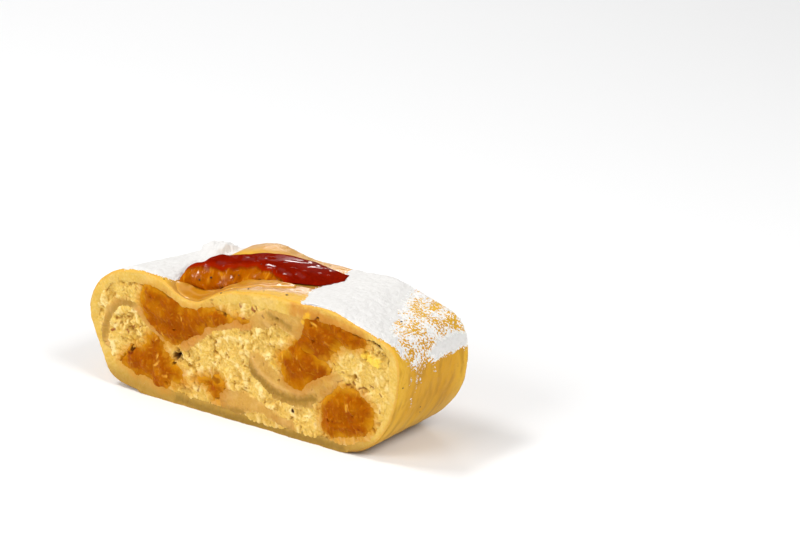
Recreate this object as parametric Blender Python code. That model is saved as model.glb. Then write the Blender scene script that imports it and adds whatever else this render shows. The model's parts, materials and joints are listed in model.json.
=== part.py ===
"""One slice of apricot strudel, lying on its base as it was cut from the roll.

X runs across the slice from the left shoulder to the right flank, Y from the front cut face to
the back one, and Z up from the flat base. The roll is drawn as a section in the XZ plane: an
outer sheet of dough, the dough turned in under it, apricots, and the crumb that fills the rest.
Every piece of the section runs through the slice from one cut face to the other. Then the slice
is settled, so that its top rises towards the back, and its faces get their crags.

All lengths are in millimetres until the finished meshes are scaled to metres.
"""
import math

import bmesh
import bpy
from mathutils import Matrix, Vector, noise
from mathutils.geometry import interpolate_bezier

METRES = 0.001

# The slice
SLICE_DEPTH = 35.0
FRONT = -SLICE_DEPTH / 2
BACK = SLICE_DEPTH / 2
GAP = 0.32
CUTTER_REACH = 5.0
HALF_WIDTH = 60.0
HEIGHT = 42.0

# How finely the pieces are drawn
SHELL_STEP = 3.1
PIECE_STEP = 2.5
CELL = 2.85
SHELL_CELL = 4.8
CELL_TURN = math.radians(27)
FINE_SKIN_ABOVE = 29.0
SHORTEST_EDGE = 0.12

# The rise of the slice from its front to its back, over the slit that the top apricot lies in
RISE = 9.0
RISE_AT = -16.5
RISE_LEFT = 9.0
RISE_RIGHT = 14.0
RISE_FROM = -6.0
RISE_TO = 6.0
RISE_FULL_HEIGHT = 36.0

# The lip of dough behind the top apricot, and the seat that it lies in. They fade out close to
# the cut faces and below the top of the slice.
LIP_HEIGHT = 1.6
LIP_AT = (-5.0, 11.5)
LIP_REACH = (15.0, 4.5)
SEAT_DEPTH = 1.4
SEAT_AT = (4.0, 2.0)
SEAT_REACH = (18.0, 6.0)
CROWN_FADE = 3.0
CROWN_FROM = 30.0
CROWN_FULL = 35.0
# The skin lies outside this line through the heart of the roll, and has more stations on top
HEART_HALF_WIDTH = 38.0
HEART_HEIGHT = 20.0
SKIN_STATIONS = (-14, -10, -2, 2, 10, 14)

# How far the inside of the roll has drifted at the back face, and how much thinner it is below
DRIFT = (-3.5, 1.2)
BACK_TAPER = 0.04

# At the back the left shoulder sags and the right flank swells
SAG = 5.2
SAG_AT = -50.0
SAG_REACH = 12.0
SWELL = 2.1
SWELL_HEIGHT = 17.0
SWELL_REACH = 14.0

# Crags of the cut faces: depth and width for each kind of food
CRAGS = {"crumb": (1.0, 3.4), "apricot": (0.7, 5.0), "dough": (0.22, 6.0)}
APRICOT_SWELL = 0.5

# The section, as (x, z) points on smooth curves. The outer sheet runs from the right end of the
# flat base over the top to its left end.
OUTSIDE = (
    (40, 0), (46.5, 1.6), (52, 5), (56.3, 10.2), (59, 15.5), (61, 22), (62, 28.5), (61.8, 33),
    (60.3, 36.6), (57.2, 39.1), (51.6, 40.9), (44, 43.2), (37, 45), (31, 45.2), (23.6, 44.6),
    (13.6, 44.8), (3.6, 43.6), (-5, 41.8), (-11.4, 38.9), (-14.5, 36.9), (-18.5, 36.2),
    (-23.5, 37.1), (-28, 39.8), (-34, 41.5), (-42, 41.7), (-49, 40.2), (-55, 36.9), (-59, 32.8),
    (-61.5, 27.5), (-62.1, 23), (-60.8, 18.5), (-58, 11.8), (-56.2, 7.5), (-54.6, 4),
    (-51, 1.9), (-45, 0.7), (-37, 0),
)
INSIDE = (
    (-58.2, 20), (-58, 27), (-55.6, 32), (-51.4, 35.4), (-44, 37.6), (-33, 37.9), (-28.4, 36.2),
    (-23.4, 33.9), (-15.4, 34.3), (-9, 37), (-2, 39.2), (7, 40.5), (20, 40.1), (32, 40.8),
    (43, 40.1), (51.6, 38), (56.4, 35.2), (58.4, 30), (58, 20), (55, 11.5), (49.5, 5.6),
    (41.6, 2.6), (30, 2.2), (12, 1.5), (3, 1.7), (-6, 2.9), (-24, 3), (-37, 5.2), (-48.4, 8),
    (-54.6, 12),
)
# Dough turned in under the outer sheet: a line through its middle, and its thickness there
ARCH = (
    (-54.4, 10.5), (-55.3, 16), (-54.7, 20.5), (-53.2, 25), (-50.4, 28.4), (-46.4, 29.8),
    (-42.4, 29.2), (-39.2, 27), (-36.2, 24.4), (-33.4, 22.2), (-31, 20.5),
)
ARCH_THICKNESS = (2.4, 2.5, 2.6, 2.8, 2.8, 2.6, 2.2, 1.8, 1.6, 1.4, 1.1)
LAYER = (
    (-22.7, 19.6), (-19.4, 21.7), (-15.9, 24.6), (-12.4, 27.3), (-8.4, 29.6), (-4.4, 31.1),
    (0, 32.1), (5, 32.6),
)
LAYER_THICKNESS = (1.2, 1.6, 1.8, 1.8, 1.6, 1.5, 1.4, 1.1)
# Dough that shows as a thick fold, round the apricot in the middle, at the seam and at the top
FOLD = (
    (5.2, 24.2), (4.2, 20.5), (6.2, 16.4), (11.6, 13), (17, 10.9), (23, 10.5), (28.5, 12.1),
    (32.3, 16), (36, 19.6), (41, 22.8), (41.2, 24.4), (37.6, 24.9), (33, 22.6), (28.6, 19.6),
    (25, 17.1), (21.4, 16.6), (17.4, 18.9), (13.6, 21.1), (10.6, 23.2), (7.8, 25),
)
SEAM = (
    (-7.4, 4), (-7, 8.3), (-3.4, 10), (1, 10.2), (5.4, 9.5), (9.6, 8.1), (14.6, 6.6),
    (19.6, 5), (23.2, 3.2), (23.6, 2.2), (21, 2.1), (17.6, 3), (12.6, 4.2), (7.6, 5.2),
    (3.6, 4.6), (0.6, 2.4), (-4, 2.2),
)
PATCH = (
    (5.2, 33.6), (6, 36.4), (9.6, 38.4), (13.6, 40.2), (18.6, 41.2), (25.6, 41.2), (26.4, 38.4),
    (25.6, 35.6), (24.9, 33.4), (23.6, 32.6), (22.4, 33.6), (19.6, 34.9), (15.6, 35.3),
    (11.6, 34.4), (8.4, 32.8),
)
# Apricots
APRICOT_UPPER_LEFT = (
    (-39, 34.5), (-37, 38.2), (-33, 38.8), (-29.4, 37.6), (-26, 35.6), (-22, 34.6),
    (-16.6, 35), (-12.4, 35), (-9.4, 35.6), (-5, 35.4), (-3.6, 34.4), (0.6, 34.6), (4.4, 34),
    (3.8, 33.2), (-1.4, 32.6), (-5.4, 31.2), (-10.4, 29.2), (-14, 26.6), (-17.4, 23.8),
    (-21.4, 21), (-25.4, 20), (-30, 20.8), (-34.5, 23.2), (-38, 26.6), (-40, 30),
)
APRICOT_LOWER_LEFT = (
    (-49.4, 9.3), (-46.4, 13), (-43.4, 15.4), (-40.6, 15.2), (-38, 17.5), (-36.6, 20.8),
    (-34, 21.6), (-31.6, 20.4), (-30.4, 17.5), (-29, 15), (-27, 13.4), (-24.6, 12.2),
    (-22.4, 10), (-23.6, 8), (-26.6, 7.3), (-28.6, 5.3), (-31, 3.6), (-35.4, 4.4), (-41, 5.4),
    (-46, 6.8),
)
APRICOT_SMALL = (
    (-17.4, 10.3), (-14.4, 11.6), (-10.9, 12.2), (-9.4, 13.5), (-7.6, 12), (-5.2, 11.1),
    (-6.4, 9), (-7.2, 6), (-8.4, 4.8), (-10.2, 5.4), (-11.6, 7.8), (-14.4, 9.6),
)
APRICOT_MIDDLE = (
    (22.8, 32.2), (26.6, 30), (31.4, 28.6), (34.6, 26.6), (36, 25), (33, 22.3), (29, 19.9),
    (25.4, 16.9), (22, 16), (19.6, 17.2), (18, 20), (17.4, 23), (16.2, 25.4), (17.6, 27),
    (20.4, 28.6), (21.4, 31.2),
)
APRICOT_UPPER_RIGHT = (
    (24.2, 34.4), (25, 37), (27, 40.4), (31, 41.6), (36, 41.8), (41, 41.4), (46, 40.2),
    (49.6, 37.8), (48.6, 35.4), (44, 34.6), (39.4, 34.2), (37.8, 32), (36.4, 29.6),
    (34, 28.6), (30.4, 28.8), (26.4, 30), (23.6, 32),
)
APRICOT_LOWER_RIGHT = (
    (39.1, 20.2), (43, 20.8), (47.5, 20.4), (50.2, 18.8), (51.7, 16.4), (51.7, 12.6),
    (50.2, 9.2), (47, 6.8), (42, 5.2), (37.6, 4.3), (34.2, 5.2), (32.6, 7.6), (32.8, 11.6),
    (34, 15.6), (36, 18.4),
)
# Crumb: drawn a little too large, because it gives way to the pieces above
CRUMB_OUTER_LEFT = (
    (-58.6, 16.4), (-59.5, 25), (-56, 34), (-46, 38.5), (-37.5, 38.5), (-37, 35.5),
    (-38, 31.5), (-39.5, 28.6), (-42.4, 29.2), (-46.4, 29.8), (-50.4, 28.4), (-53.2, 25),
    (-55, 20.5),
)
CRUMB_INNER_LEFT = (
    (-55, 12), (-55, 17), (-54, 22.5), (-51, 27.5), (-46.4, 29.5), (-42, 29), (-38.5, 26.5),
    (-34, 22.5), (-31.5, 20.8), (-32, 17), (-37, 12), (-45, 8.5), (-51, 7.8),
)
CRUMB_TONGUE = (
    (-31.2, 20.4), (-28, 20.6), (-24, 20.2), (-22.9, 18.4), (-24.4, 16.2), (-26, 14),
    (-28, 13.4), (-29.6, 15.5), (-30.8, 18),
)
CRUMB_MIDDLE = (
    (-24, 20.4), (-15, 25), (-8, 30), (0, 32.5), (7, 33), (11.6, 34.6), (17, 35.5),
    (22.4, 33.8), (22.5, 30), (19, 27.5), (18, 24), (18.4, 20), (13, 19), (7, 20), (5, 16),
    (4, 11), (0, 9), (-6, 9), (-7, 5), (-9, 2.5), (-16, 2.5), (-26, 3), (-31, 4.5), (-26, 9),
    (-22, 11), (-25, 13), (-24, 17),
)
CRUMB_TOP = (
    (-14, 34), (-12.5, 36.4), (-8, 38.4), (-2, 40), (6, 41.2), (12, 41), (14, 39.8), (10, 37), (6, 34.5),
    (5.5, 33), (2, 33.5), (-4, 34.5), (-9, 34.5),
)
CRUMB_LOWER = (
    (3.4, 18), (9, 14.4), (18, 11.6), (27, 13), (33, 18), (38, 20.8), (40, 21.5), (38, 19),
    (35, 14), (33, 8), (37, 4), (37, 1.5), (24, 1.5), (18, 4), (8, 8), (4, 10),
)
CRUMB_RIGHT = (
    (38, 20.5), (41, 24.8), (36, 24.8), (33, 27), (33.5, 30.5), (38.5, 35.5), (45, 36),
    (48.5, 37.2), (48.5, 39), (53, 39), (58, 36), (60, 30), (60, 20), (58, 12), (52, 5),
    (45, 1.5), (36, 1.5), (40, 6), (48.5, 9.5), (50.5, 14), (48.5, 18.5), (44, 20),
)
CRUMB_SEAM = (
    (0, 1.4), (1.5, 3.8), (3.8, 5.6), (7.6, 6.2), (12.6, 5.2), (17.4, 4), (21.4, 2.8), (22, 1.6),
    (12, 1),
)

# The apricot on top: its front foot, its crest and its back foot, from left to right, as
# (x, y, z) with z above the base. The feet lie in the dough.
TOP_FRONT = ((-25.5, -15.5, 39), (-17.5, -11, 38), (-8.5, -8.4, 39.5), (2, -7.6, 42),
             (12, -6.2, 43.6), (20, -4, 44), (24.5, 3.5, 45))
TOP_CREST = ((-27, -9, 43), (-21, -4.5, 45.6), (-13, -0.4, 47.3), (-4, 4, 48.3),
             (5, 6.8, 48.4), (14.5, 8.4, 47.6), (22.5, 9.5, 46.4))
TOP_BACK = ((-25, -3, 41.5), (-20, 2.5, 43), (-13, 6, 44), (-4, 9.5, 44.6), (5, 11.6, 44.6),
            (14, 12.6, 44.4), (22, 13, 44.6))
TOP_STEP = 3.1
TOP_SIDES = 12
TOP_END = 0.35
TOP_UNDERSIDE = -0.45
TOP_LEAN = 0.55

# Icing sugar on the shoulders, drawn as seen from above, and its thickness. A small pile of it
# lies on the left shoulder.
SUGAR = 0.8
SUGAR_STEP = 2.6
SUGAR_LEFT = (
    (-46, -17.2), (-36, -17.2), (-31.5, -16), (-31.6, -11), (-33.5, -6), (-33, -1), (-29, 4),
    (-26.5, 8), (-26, 13), (-27, 17.2), (-45, 17.2), (-57.5, 17.2), (-56.5, 12), (-57.5, 4),
    (-54.5, -4), (-52, -11),
)
SUGAR_RIGHT = (
    (25, -17.2), (23.5, -15), (21, -9.5), (23, -5), (25.5, 0), (23, 6), (22.5, 12),
    (23.5, 17.2), (42, 17.2), (57, 17.2), (61.2, 13), (61.4, 6), (60, 0), (60.8, -6),
    (58.5, -13), (53, -17.2), (40, -17.2),
)
SUGAR_FROM = 31.0
SUGAR_TO = 60.0
SUGAR_SHORTEST_EDGE = 0.02
SUGAR_PILE = 0.9
SUGAR_PILE_AT = (-35.0, 11.0)
SUGAR_PILE_REACH = (9.0, 6.0)

# Colours, as linear red, green and blue, with the roughness of the surface
DOUGH = ((0.80, 0.53, 0.13), 0.6)
INNER_DOUGH = ((0.68, 0.42, 0.11), 0.55)
CRUMB = ((0.80, 0.61, 0.24), 0.8)
APRICOT = ((0.62, 0.15, 0.005), 0.3)
TOP_APRICOT = ((0.42, 0.03, 0.003), 0.12)
ICING_SUGAR = ((0.90, 0.89, 0.87), 0.9)


def bump(x, y, centre, reach):
    """A smooth hump that is 1 at its centre and fades out over its reach."""
    return math.exp(-((x - centre[0]) / reach[0]) ** 2 - ((y - centre[1]) / reach[1]) ** 2)


def clamp(value, low=0.0, high=1.0):
    return max(low, min(high, value))


def respaced(points, spacing, closed):
    """The same line with its points evenly spread, about one for each spacing."""
    ends = list(points)
    if closed:
        ends.append(points[0])
    along = [0.0]
    for a, b in zip(ends, ends[1:]):
        along.append(along[-1] + (b - a).length)
    count = max(3, round(along[-1] / spacing))
    marks = [along[-1] * i / count for i in range(count if closed else count + 1)]
    result = []
    k = 0
    for mark in marks:
        while k < len(along) - 2 and along[k + 1] < mark:
            k += 1
        share = (mark - along[k]) / (along[k + 1] - along[k])
        result.append(ends[k].lerp(ends[k + 1], share))
    return result


def smooth(points, spacing, closed=True):
    """A smooth curve through the points, as evenly spaced vectors."""
    knots = [Vector(p) for p in points]
    count = len(knots)
    dense = []
    for i in range(count if closed else count - 1):
        a, b = knots[i], knots[(i + 1) % count]
        before = knots[i - 1] if closed or i else a
        after = knots[(i + 2) % count] if closed or i + 2 < count else b
        run = interpolate_bezier(a, a + (b - before) / 6, b - (after - a) / 6, b, 9)
        dense.extend(run[:-1])
    if not closed:
        dense.append(knots[-1])
    return respaced(dense, spacing, closed)


def band(centre, thickness):
    """The outline of a sheet that is cut across: a line with a thickness, and round ends."""
    line = smooth(centre, PIECE_STEP, closed=False)
    left, right = [], []
    for i, p in enumerate(line):
        ahead = line[min(i + 1, len(line) - 1)] - line[max(i - 1, 0)]
        side = Vector((-ahead.y, ahead.x)).normalized()
        place = i / (len(line) - 1) * (len(thickness) - 1)
        k = min(int(place), len(thickness) - 2)
        half = (thickness[k] + (thickness[k + 1] - thickness[k]) * (place - k)) / 2
        left.append(p + side * half)
        right.append(p - side * half)
    start = line[0] - (line[1] - line[0]).normalized() * thickness[0] / 2
    end = line[-1] + (line[-1] - line[-2]).normalized() * thickness[-1] / 2
    return [start, *left, end, *reversed(right)]


def is_anticlockwise(outline):
    area = sum(a.x * b.y - b.x * a.y for a, b in zip(outline, outline[1:] + outline[:1]))
    return area > 0


def grown(outline, distance):
    """The outline moved outwards by a distance, or inwards where that is negative."""
    turn = 1 if is_anticlockwise(outline) else -1
    result = []
    for i, p in enumerate(outline):
        ahead = outline[(i + 1) % len(outline)] - outline[i - 1]
        result.append(p + Vector((ahead.y, -ahead.x)).normalized() * distance * turn)
    return result


def made(bm, name):
    """A new object that takes over the bmesh."""
    mesh = bpy.data.meshes.new(name)
    bm.to_mesh(mesh)
    bm.free()
    thing = bpy.data.objects.new(name, mesh)
    bpy.context.scene.collection.objects.link(thing)
    return thing


def prism(outline, low, high, name="prism", along="Y"):
    """The outline as a bar that runs along Y, or up Z for an outline seen from above."""
    bm = bmesh.new()
    if along == "Y":
        ring = [bm.verts.new((p.x, low, p.y)) for p in outline]
        way = Vector((0, high - low, 0))
    else:
        ring = [bm.verts.new((p.x, p.y, low)) for p in outline]
        way = Vector((0, 0, high - low))
    face = bm.faces.new(ring)
    far = bmesh.ops.extrude_face_region(bm, geom=[face], use_keep_orig=True)["geom"]
    moved = [item for item in far if isinstance(item, bmesh.types.BMVert)]
    bmesh.ops.translate(bm, vec=way, verts=moved)
    bmesh.ops.recalc_face_normals(bm, faces=bm.faces)
    return made(bm, name)


def cutter(outline):
    """A bar that reaches past both cut faces."""
    return prism(outline, FRONT - CUTTER_REACH, BACK + CUTTER_REACH)


def remove(thing):
    mesh = thing.data
    bpy.data.objects.remove(thing)
    bpy.data.meshes.remove(mesh)


def combine(thing, other, operation):
    """Cuts the object by another, or keeps what they share, and removes the other one."""
    step = thing.modifiers.new(operation, "BOOLEAN")
    step.operation = operation
    step.object = other
    step.solver = "EXACT"
    graph = bpy.context.evaluated_depsgraph_get()
    mesh = bpy.data.meshes.new_from_object(thing.evaluated_get(graph))
    old = thing.data
    thing.modifiers.clear()
    thing.data = mesh
    bpy.data.meshes.remove(old)
    remove(other)


def overlap(a, b):
    """Whether the boxes round two outlines meet."""
    return all(
        min(p[k] for p in a) < max(p[k] for p in b) and min(p[k] for p in b) < max(p[k] for p in a)
        for k in (0, 1)
    )


def islands(bm):
    """The faces of each loose part, where parts that only touch at a point count as loose."""
    left = set(bm.faces)
    found = []
    while left:
        group = set()
        front = [left.pop()]
        while front:
            face = front.pop()
            group.add(face)
            for edge in face.edges:
                for other in edge.link_faces:
                    if other in left:
                        left.remove(other)
                        front.append(other)
        found.append(group)
    return found


def tidy(bm, shortest=SHORTEST_EDGE):
    """Merges the tiny edges that cutting leaves, and drops loose scraps."""
    bmesh.ops.remove_doubles(bm, verts=bm.verts, dist=shortest)
    bmesh.ops.dissolve_degenerate(bm, edges=bm.edges, dist=shortest / 2)
    groups = sorted(islands(bm), key=len)
    for scrap in groups[:-1]:
        bmesh.ops.delete(bm, geom=list(scrap), context="FACES")


def cut_faces(bm):
    """The faces of the two cut ends."""
    return [face for face in bm.faces if abs(face.normal.y) > 0.9]


def around(faces):
    """The faces with their edges and vertices, as the cutting operators take them."""
    edges = {edge for face in faces for edge in face.edges}
    verts = {vert for face in faces for vert in face.verts}
    return list(faces) + list(edges) + list(verts)


def net(bm, spacing):
    """Divides the cut ends into cells, so that they can take relief."""
    for turn in (CELL_TURN, CELL_TURN + math.pi / 2):
        across = Vector((math.cos(turn), 0, math.sin(turn)))
        places = [vert.co.dot(across) for vert in bm.verts]
        first = math.ceil(min(places) / spacing)
        last = math.floor(max(places) / spacing)
        for k in range(first, last + 1):
            bmesh.ops.bisect_plane(
                bm, geom=around(cut_faces(bm)), plane_co=across * (k * spacing),
                plane_no=across, dist=SHORTEST_EDGE)


def slice_along(bm, places, faces_of):
    """Divides the walls at the places along Y."""
    for place in places:
        bmesh.ops.bisect_plane(
            bm, geom=around(faces_of(bm)), plane_co=Vector((0, place, 0)),
            plane_no=Vector((0, 1, 0)), dist=0.01)


def crag(kind, place, side):
    """How far a point of a cut end lies outside the plane of the cut."""
    depth, width = CRAGS[kind]
    seed = Vector((place.x / width, side * 9.0, place.z / width))
    rough = noise.noise(seed) + 0.5 * noise.noise(seed * 2.3)
    if kind == "crumb":
        rough = -abs(rough) * 1.4
    return rough * depth


def roughen(bm, kind):
    """Gives both cut ends their crags. A cut apricot swells a little out of the face."""
    rim = {vert for face in bm.faces if abs(face.normal.y) < 0.5 for vert in face.verts}
    for vert in {vert for face in cut_faces(bm) for vert in face.verts}:
        side = 1 if vert.co.y > 0 else -1
        out = crag(kind, vert.co, side)
        if kind == "apricot" and vert not in rim:
            out += APRICOT_SWELL
        vert.co.y += side * out


def settled(place):
    """Where a point of the straight roll comes to lie in the slice."""
    x, y, z = place
    along = clamp((y - FRONT) / SLICE_DEPTH)
    inside = clamp(1 - (x / HALF_WIDTH) ** 2) * math.sin(math.pi * clamp(z / HEIGHT))
    reach = RISE_LEFT if x < RISE_AT else RISE_RIGHT
    rise = RISE * bump(x, 0, (RISE_AT, 0), (reach, 1)) * clamp(z / RISE_FULL_HEIGHT)
    rise *= clamp((y - RISE_FROM) / (RISE_TO - RISE_FROM))
    sag = SAG * bump(x, 0, (SAG_AT, 0), (SAG_REACH, 1)) * clamp(z / RISE_FULL_HEIGHT) * along
    swell = SWELL * bump(z, 0, (SWELL_HEIGHT, 0), (SWELL_REACH, 1)) * clamp(x / HALF_WIDTH)
    swell *= along
    thin = 1 - BACK_TAPER * clamp(1 - z / HEIGHT) if y > 0 else 1
    return Vector((
        x + DRIFT[0] * along * inside + swell,
        y * thin,
        z + DRIFT[1] * along * inside + rise - sag,
    ))


def crown(place):
    """The lip and the seat in the outer skin of the slice, which fade out at the cut faces."""
    x, y, z = place
    fade = clamp((BACK - abs(y)) / CROWN_FADE)
    fade *= clamp((z - CROWN_FROM) / (CROWN_FULL - CROWN_FROM))
    lip = LIP_HEIGHT * bump(x, y, LIP_AT, LIP_REACH)
    seat = SEAT_DEPTH * bump(x, y, SEAT_AT, SEAT_REACH)
    return (lip - seat) * fade


def settle(bm):
    for vert in bm.verts:
        vert.co = settled(vert.co)


def finish(thing, look):
    """Triangles, metres and a material."""
    bm = bmesh.new()
    bm.from_mesh(thing.data)
    bmesh.ops.triangulate(bm, faces=bm.faces)
    bmesh.ops.recalc_face_normals(bm, faces=bm.faces)
    bmesh.ops.transform(bm, matrix=Matrix.Scale(METRES, 4), verts=bm.verts)
    bm.to_mesh(thing.data)
    bm.free()
    colour, roughness = look
    material = bpy.data.materials.new(thing.name)
    material.use_nodes = True
    shader = material.node_tree.nodes["Principled BSDF"]
    shader.inputs["Base Color"].default_value = (*colour, 1.0)
    shader.inputs["Roughness"].default_value = roughness
    thing.data.materials.clear()
    thing.data.materials.append(material)


def loaf(name, outside, inside=None):
    """The slice inside its outer skin, hollow where an inside is given.

    The skin is divided more finely along the slice where it has a lip and a seat.
    """
    thing = prism(outside, FRONT, BACK, name)
    if inside:
        combine(thing, cutter(inside), "DIFFERENCE")
    bm = bmesh.new()
    bm.from_mesh(thing.data)
    tidy(bm)
    if inside:
        net(bm, SHELL_CELL)

    def is_skin(face):
        centre = face.calc_center_median()
        heart = clamp(centre.x, -HEART_HALF_WIDTH, HEART_HALF_WIDTH)
        away = centre - Vector((heart, centre.y, HEART_HEIGHT))
        return abs(face.normal.y) < 0.5 and face.normal.dot(away) > 0

    def skin(mesh):
        return [face for face in mesh.faces if is_skin(face)]

    def high_skin(mesh):
        return [f for f in skin(mesh) if max(vert.co.z for vert in f.verts) > FINE_SKIN_ABOVE]

    slice_along(bm, (RISE_FROM, RISE_TO), lambda mesh: mesh.faces[:])
    slice_along(bm, SKIN_STATIONS, high_skin)
    roughen(bm, "dough")
    skin_verts = {vert for face in skin(bm) for vert in face.verts}
    lifted = {vert: crown(vert.co) for vert in skin_verts}
    settle(bm)
    for vert, lift in lifted.items():
        vert.co.z += lift
    bm.to_mesh(thing.data)
    bm.free()
    return thing


def filling(name, kind, outline, room, above):
    """A piece of the section, cut clear of the pieces that come before it."""
    thing = prism(outline, FRONT, BACK, name)
    combine(thing, cutter(grown(room, -GAP)), "INTERSECT")
    for other in above:
        wide = grown(other, GAP)
        if overlap(outline, wide):
            combine(thing, cutter(wide), "DIFFERENCE")
    bm = bmesh.new()
    bm.from_mesh(thing.data)
    tidy(bm)
    net(bm, CELL)
    slice_along(bm, (RISE_FROM, RISE_TO), lambda mesh: mesh.faces[:])
    roughen(bm, kind)
    settle(bm)
    bm.to_mesh(thing.data)
    bm.free()
    return thing


def grown_copy(thing, distance_at):
    """A copy of the outer sheet, with its skin moved out by a distance at each point."""
    bm = bmesh.new()
    bm.from_mesh(thing.data)
    bmesh.ops.triangulate(bm, faces=bm.faces)
    bm.normal_update()
    moves = [(vert, vert.normal * distance_at(vert.co)) for vert in bm.verts]
    for vert, move in moves:
        vert.co += move
    return made(bm, "grown")


def top_apricot(block):
    """The apricot half on top: a wedge lofted between its feet and its crest."""
    lines = [smooth(line, TOP_STEP, closed=False) for line in (TOP_FRONT, TOP_CREST, TOP_BACK)]
    count = min(len(line) for line in lines)
    bm = bmesh.new()
    rings = []
    for i in range(count):
        share = i / (count - 1)
        front, crest, back = (line[round(share * (len(line) - 1))] for line in lines)
        squeeze = TOP_END + (1 - TOP_END) * math.sin(math.pi * clamp(share, 0.04, 0.96)) ** 0.5
        middle = (front + back) / 2
        points = []
        for k in range(TOP_SIDES):
            turn = 2 * math.pi * k / TOP_SIDES
            base = front.lerp(back, 0.5 - 0.5 * math.cos(turn))
            lift = (crest.z - middle.z) * max(math.sin(turn), TOP_UNDERSIDE)
            lean = (crest - middle) * max(math.sin(turn), 0) * TOP_LEAN
            points.append(base + Vector((lean.x, lean.y, lift)))
        centre = sum(points, Vector()) / len(points)
        points = [centre + (p - centre) * squeeze for p in points]
        rings.append([bm.verts.new(p) for p in points])
    for a, b in zip(rings, rings[1:]):
        for k in range(TOP_SIDES):
            after = (k + 1) % TOP_SIDES
            bm.faces.new((a[k], a[after], b[after], b[k]))
    bm.faces.new(rings[0])
    bm.faces.new(reversed(rings[-1]))
    bmesh.ops.recalc_face_normals(bm, faces=bm.faces)
    thing = made(bm, "apricot_top")
    combine(thing, grown_copy(block, lambda place: GAP), "DIFFERENCE")
    bm = bmesh.new()
    bm.from_mesh(thing.data)
    tidy(bm)
    bm.to_mesh(thing.data)
    bm.free()
    return thing


def sugar(name, outline, block, apricot):
    """A layer of icing sugar that follows the skin of the slice."""
    def thickness(place):
        pile = SUGAR_PILE * bump(place.x, place.y, SUGAR_PILE_AT, SUGAR_PILE_REACH)
        return GAP + SUGAR + pile

    thing = prism(smooth(outline, SUGAR_STEP), SUGAR_FROM, SUGAR_TO, name, along="Z")
    combine(thing, grown_copy(block, thickness), "INTERSECT")
    combine(thing, grown_copy(block, lambda place: GAP), "DIFFERENCE")
    combine(thing, grown_copy(apricot, lambda place: GAP), "DIFFERENCE")
    bm = bmesh.new()
    bm.from_mesh(thing.data)
    tidy(bm, SUGAR_SHORTEST_EDGE)
    bm.to_mesh(thing.data)
    bm.free()
    return thing


def centre(things):
    """Moves everything so that the origin is at the base, under the middle of the slice's box."""
    places = [vert.co for thing in things for vert in thing.data.vertices]
    low = [min(place[k] for place in places) for k in range(3)]
    high = [max(place[k] for place in places) for k in range(3)]
    shift = Matrix.Translation((-(low[0] + high[0]) / 2, -(low[1] + high[1]) / 2, -low[2]))
    for thing in things:
        thing.data.transform(shift)


def main():
    for thing in list(bpy.data.objects):
        bpy.data.objects.remove(thing)
    base_and_top = smooth(OUTSIDE, SHELL_STEP, closed=False)
    flat = respaced([base_and_top[-1], base_and_top[0]], SHELL_STEP * 2, closed=False)
    outside = base_and_top + flat[1:-1]
    inside = smooth(INSIDE, PIECE_STEP)
    sheet = loaf("outer_dough", outside, inside)
    block = loaf("block", outside)

    pieces = (
        ("dough_arch", "dough", INNER_DOUGH, band(ARCH, ARCH_THICKNESS)),
        ("dough_layer", "dough", INNER_DOUGH, band(LAYER, LAYER_THICKNESS)),
        ("dough_fold", "dough", INNER_DOUGH, smooth(FOLD, PIECE_STEP)),
        ("dough_seam", "dough", INNER_DOUGH, smooth(SEAM, PIECE_STEP)),
        ("dough_patch", "dough", INNER_DOUGH, smooth(PATCH, PIECE_STEP)),
        ("apricot_upper_left", "apricot", APRICOT, smooth(APRICOT_UPPER_LEFT, PIECE_STEP)),
        ("apricot_lower_left", "apricot", APRICOT, smooth(APRICOT_LOWER_LEFT, PIECE_STEP)),
        ("apricot_small", "apricot", APRICOT, smooth(APRICOT_SMALL, PIECE_STEP)),
        ("apricot_middle", "apricot", APRICOT, smooth(APRICOT_MIDDLE, PIECE_STEP)),
        ("apricot_upper_right", "apricot", APRICOT, smooth(APRICOT_UPPER_RIGHT, PIECE_STEP)),
        ("apricot_lower_right", "apricot", APRICOT, smooth(APRICOT_LOWER_RIGHT, PIECE_STEP)),
        ("crumb_outer_left", "crumb", CRUMB, smooth(CRUMB_OUTER_LEFT, PIECE_STEP)),
        ("crumb_inner_left", "crumb", CRUMB, smooth(CRUMB_INNER_LEFT, PIECE_STEP)),
        ("crumb_tongue", "crumb", CRUMB, smooth(CRUMB_TONGUE, PIECE_STEP)),
        ("crumb_middle", "crumb", CRUMB, smooth(CRUMB_MIDDLE, PIECE_STEP)),
        ("crumb_top", "crumb", CRUMB, smooth(CRUMB_TOP, PIECE_STEP)),
        ("crumb_lower", "crumb", CRUMB, smooth(CRUMB_LOWER, PIECE_STEP)),
        ("crumb_right", "crumb", CRUMB, smooth(CRUMB_RIGHT, PIECE_STEP)),
        ("crumb_seam", "crumb", CRUMB, smooth(CRUMB_SEAM, PIECE_STEP)),
    )
    above = []
    for name, kind, look, outline in pieces:
        finish(filling(name, kind, outline, inside, above), look)
        above.append(outline)

    apricot = top_apricot(block)
    for name, outline in (("sugar_left", SUGAR_LEFT), ("sugar_right", SUGAR_RIGHT)):
        finish(sugar(name, outline, block, apricot), ICING_SUGAR)
    remove(block)
    finish(apricot, TOP_APRICOT)
    finish(sheet, DOUGH)
    centre(bpy.data.objects)


main()
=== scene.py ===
# %% [markdown]
# # A slice of apricot strudel
# The slice is a roll of dough that was filled with apricots and sweet crumb, baked, and cut across.
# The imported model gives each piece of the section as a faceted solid. Pictures on the solids would
# give colour only, so every piece is copied, divided finely and given the relief and the finish of
# the real food. What follows uses millimetres and turns them to metres at the end.

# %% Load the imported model
import json
import math

import bmesh
import bpy
import numpy as np
from mathutils import Matrix, Vector
from mathutils.bvhtree import BVHTree
from mathutils.kdtree import KDTree

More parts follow.
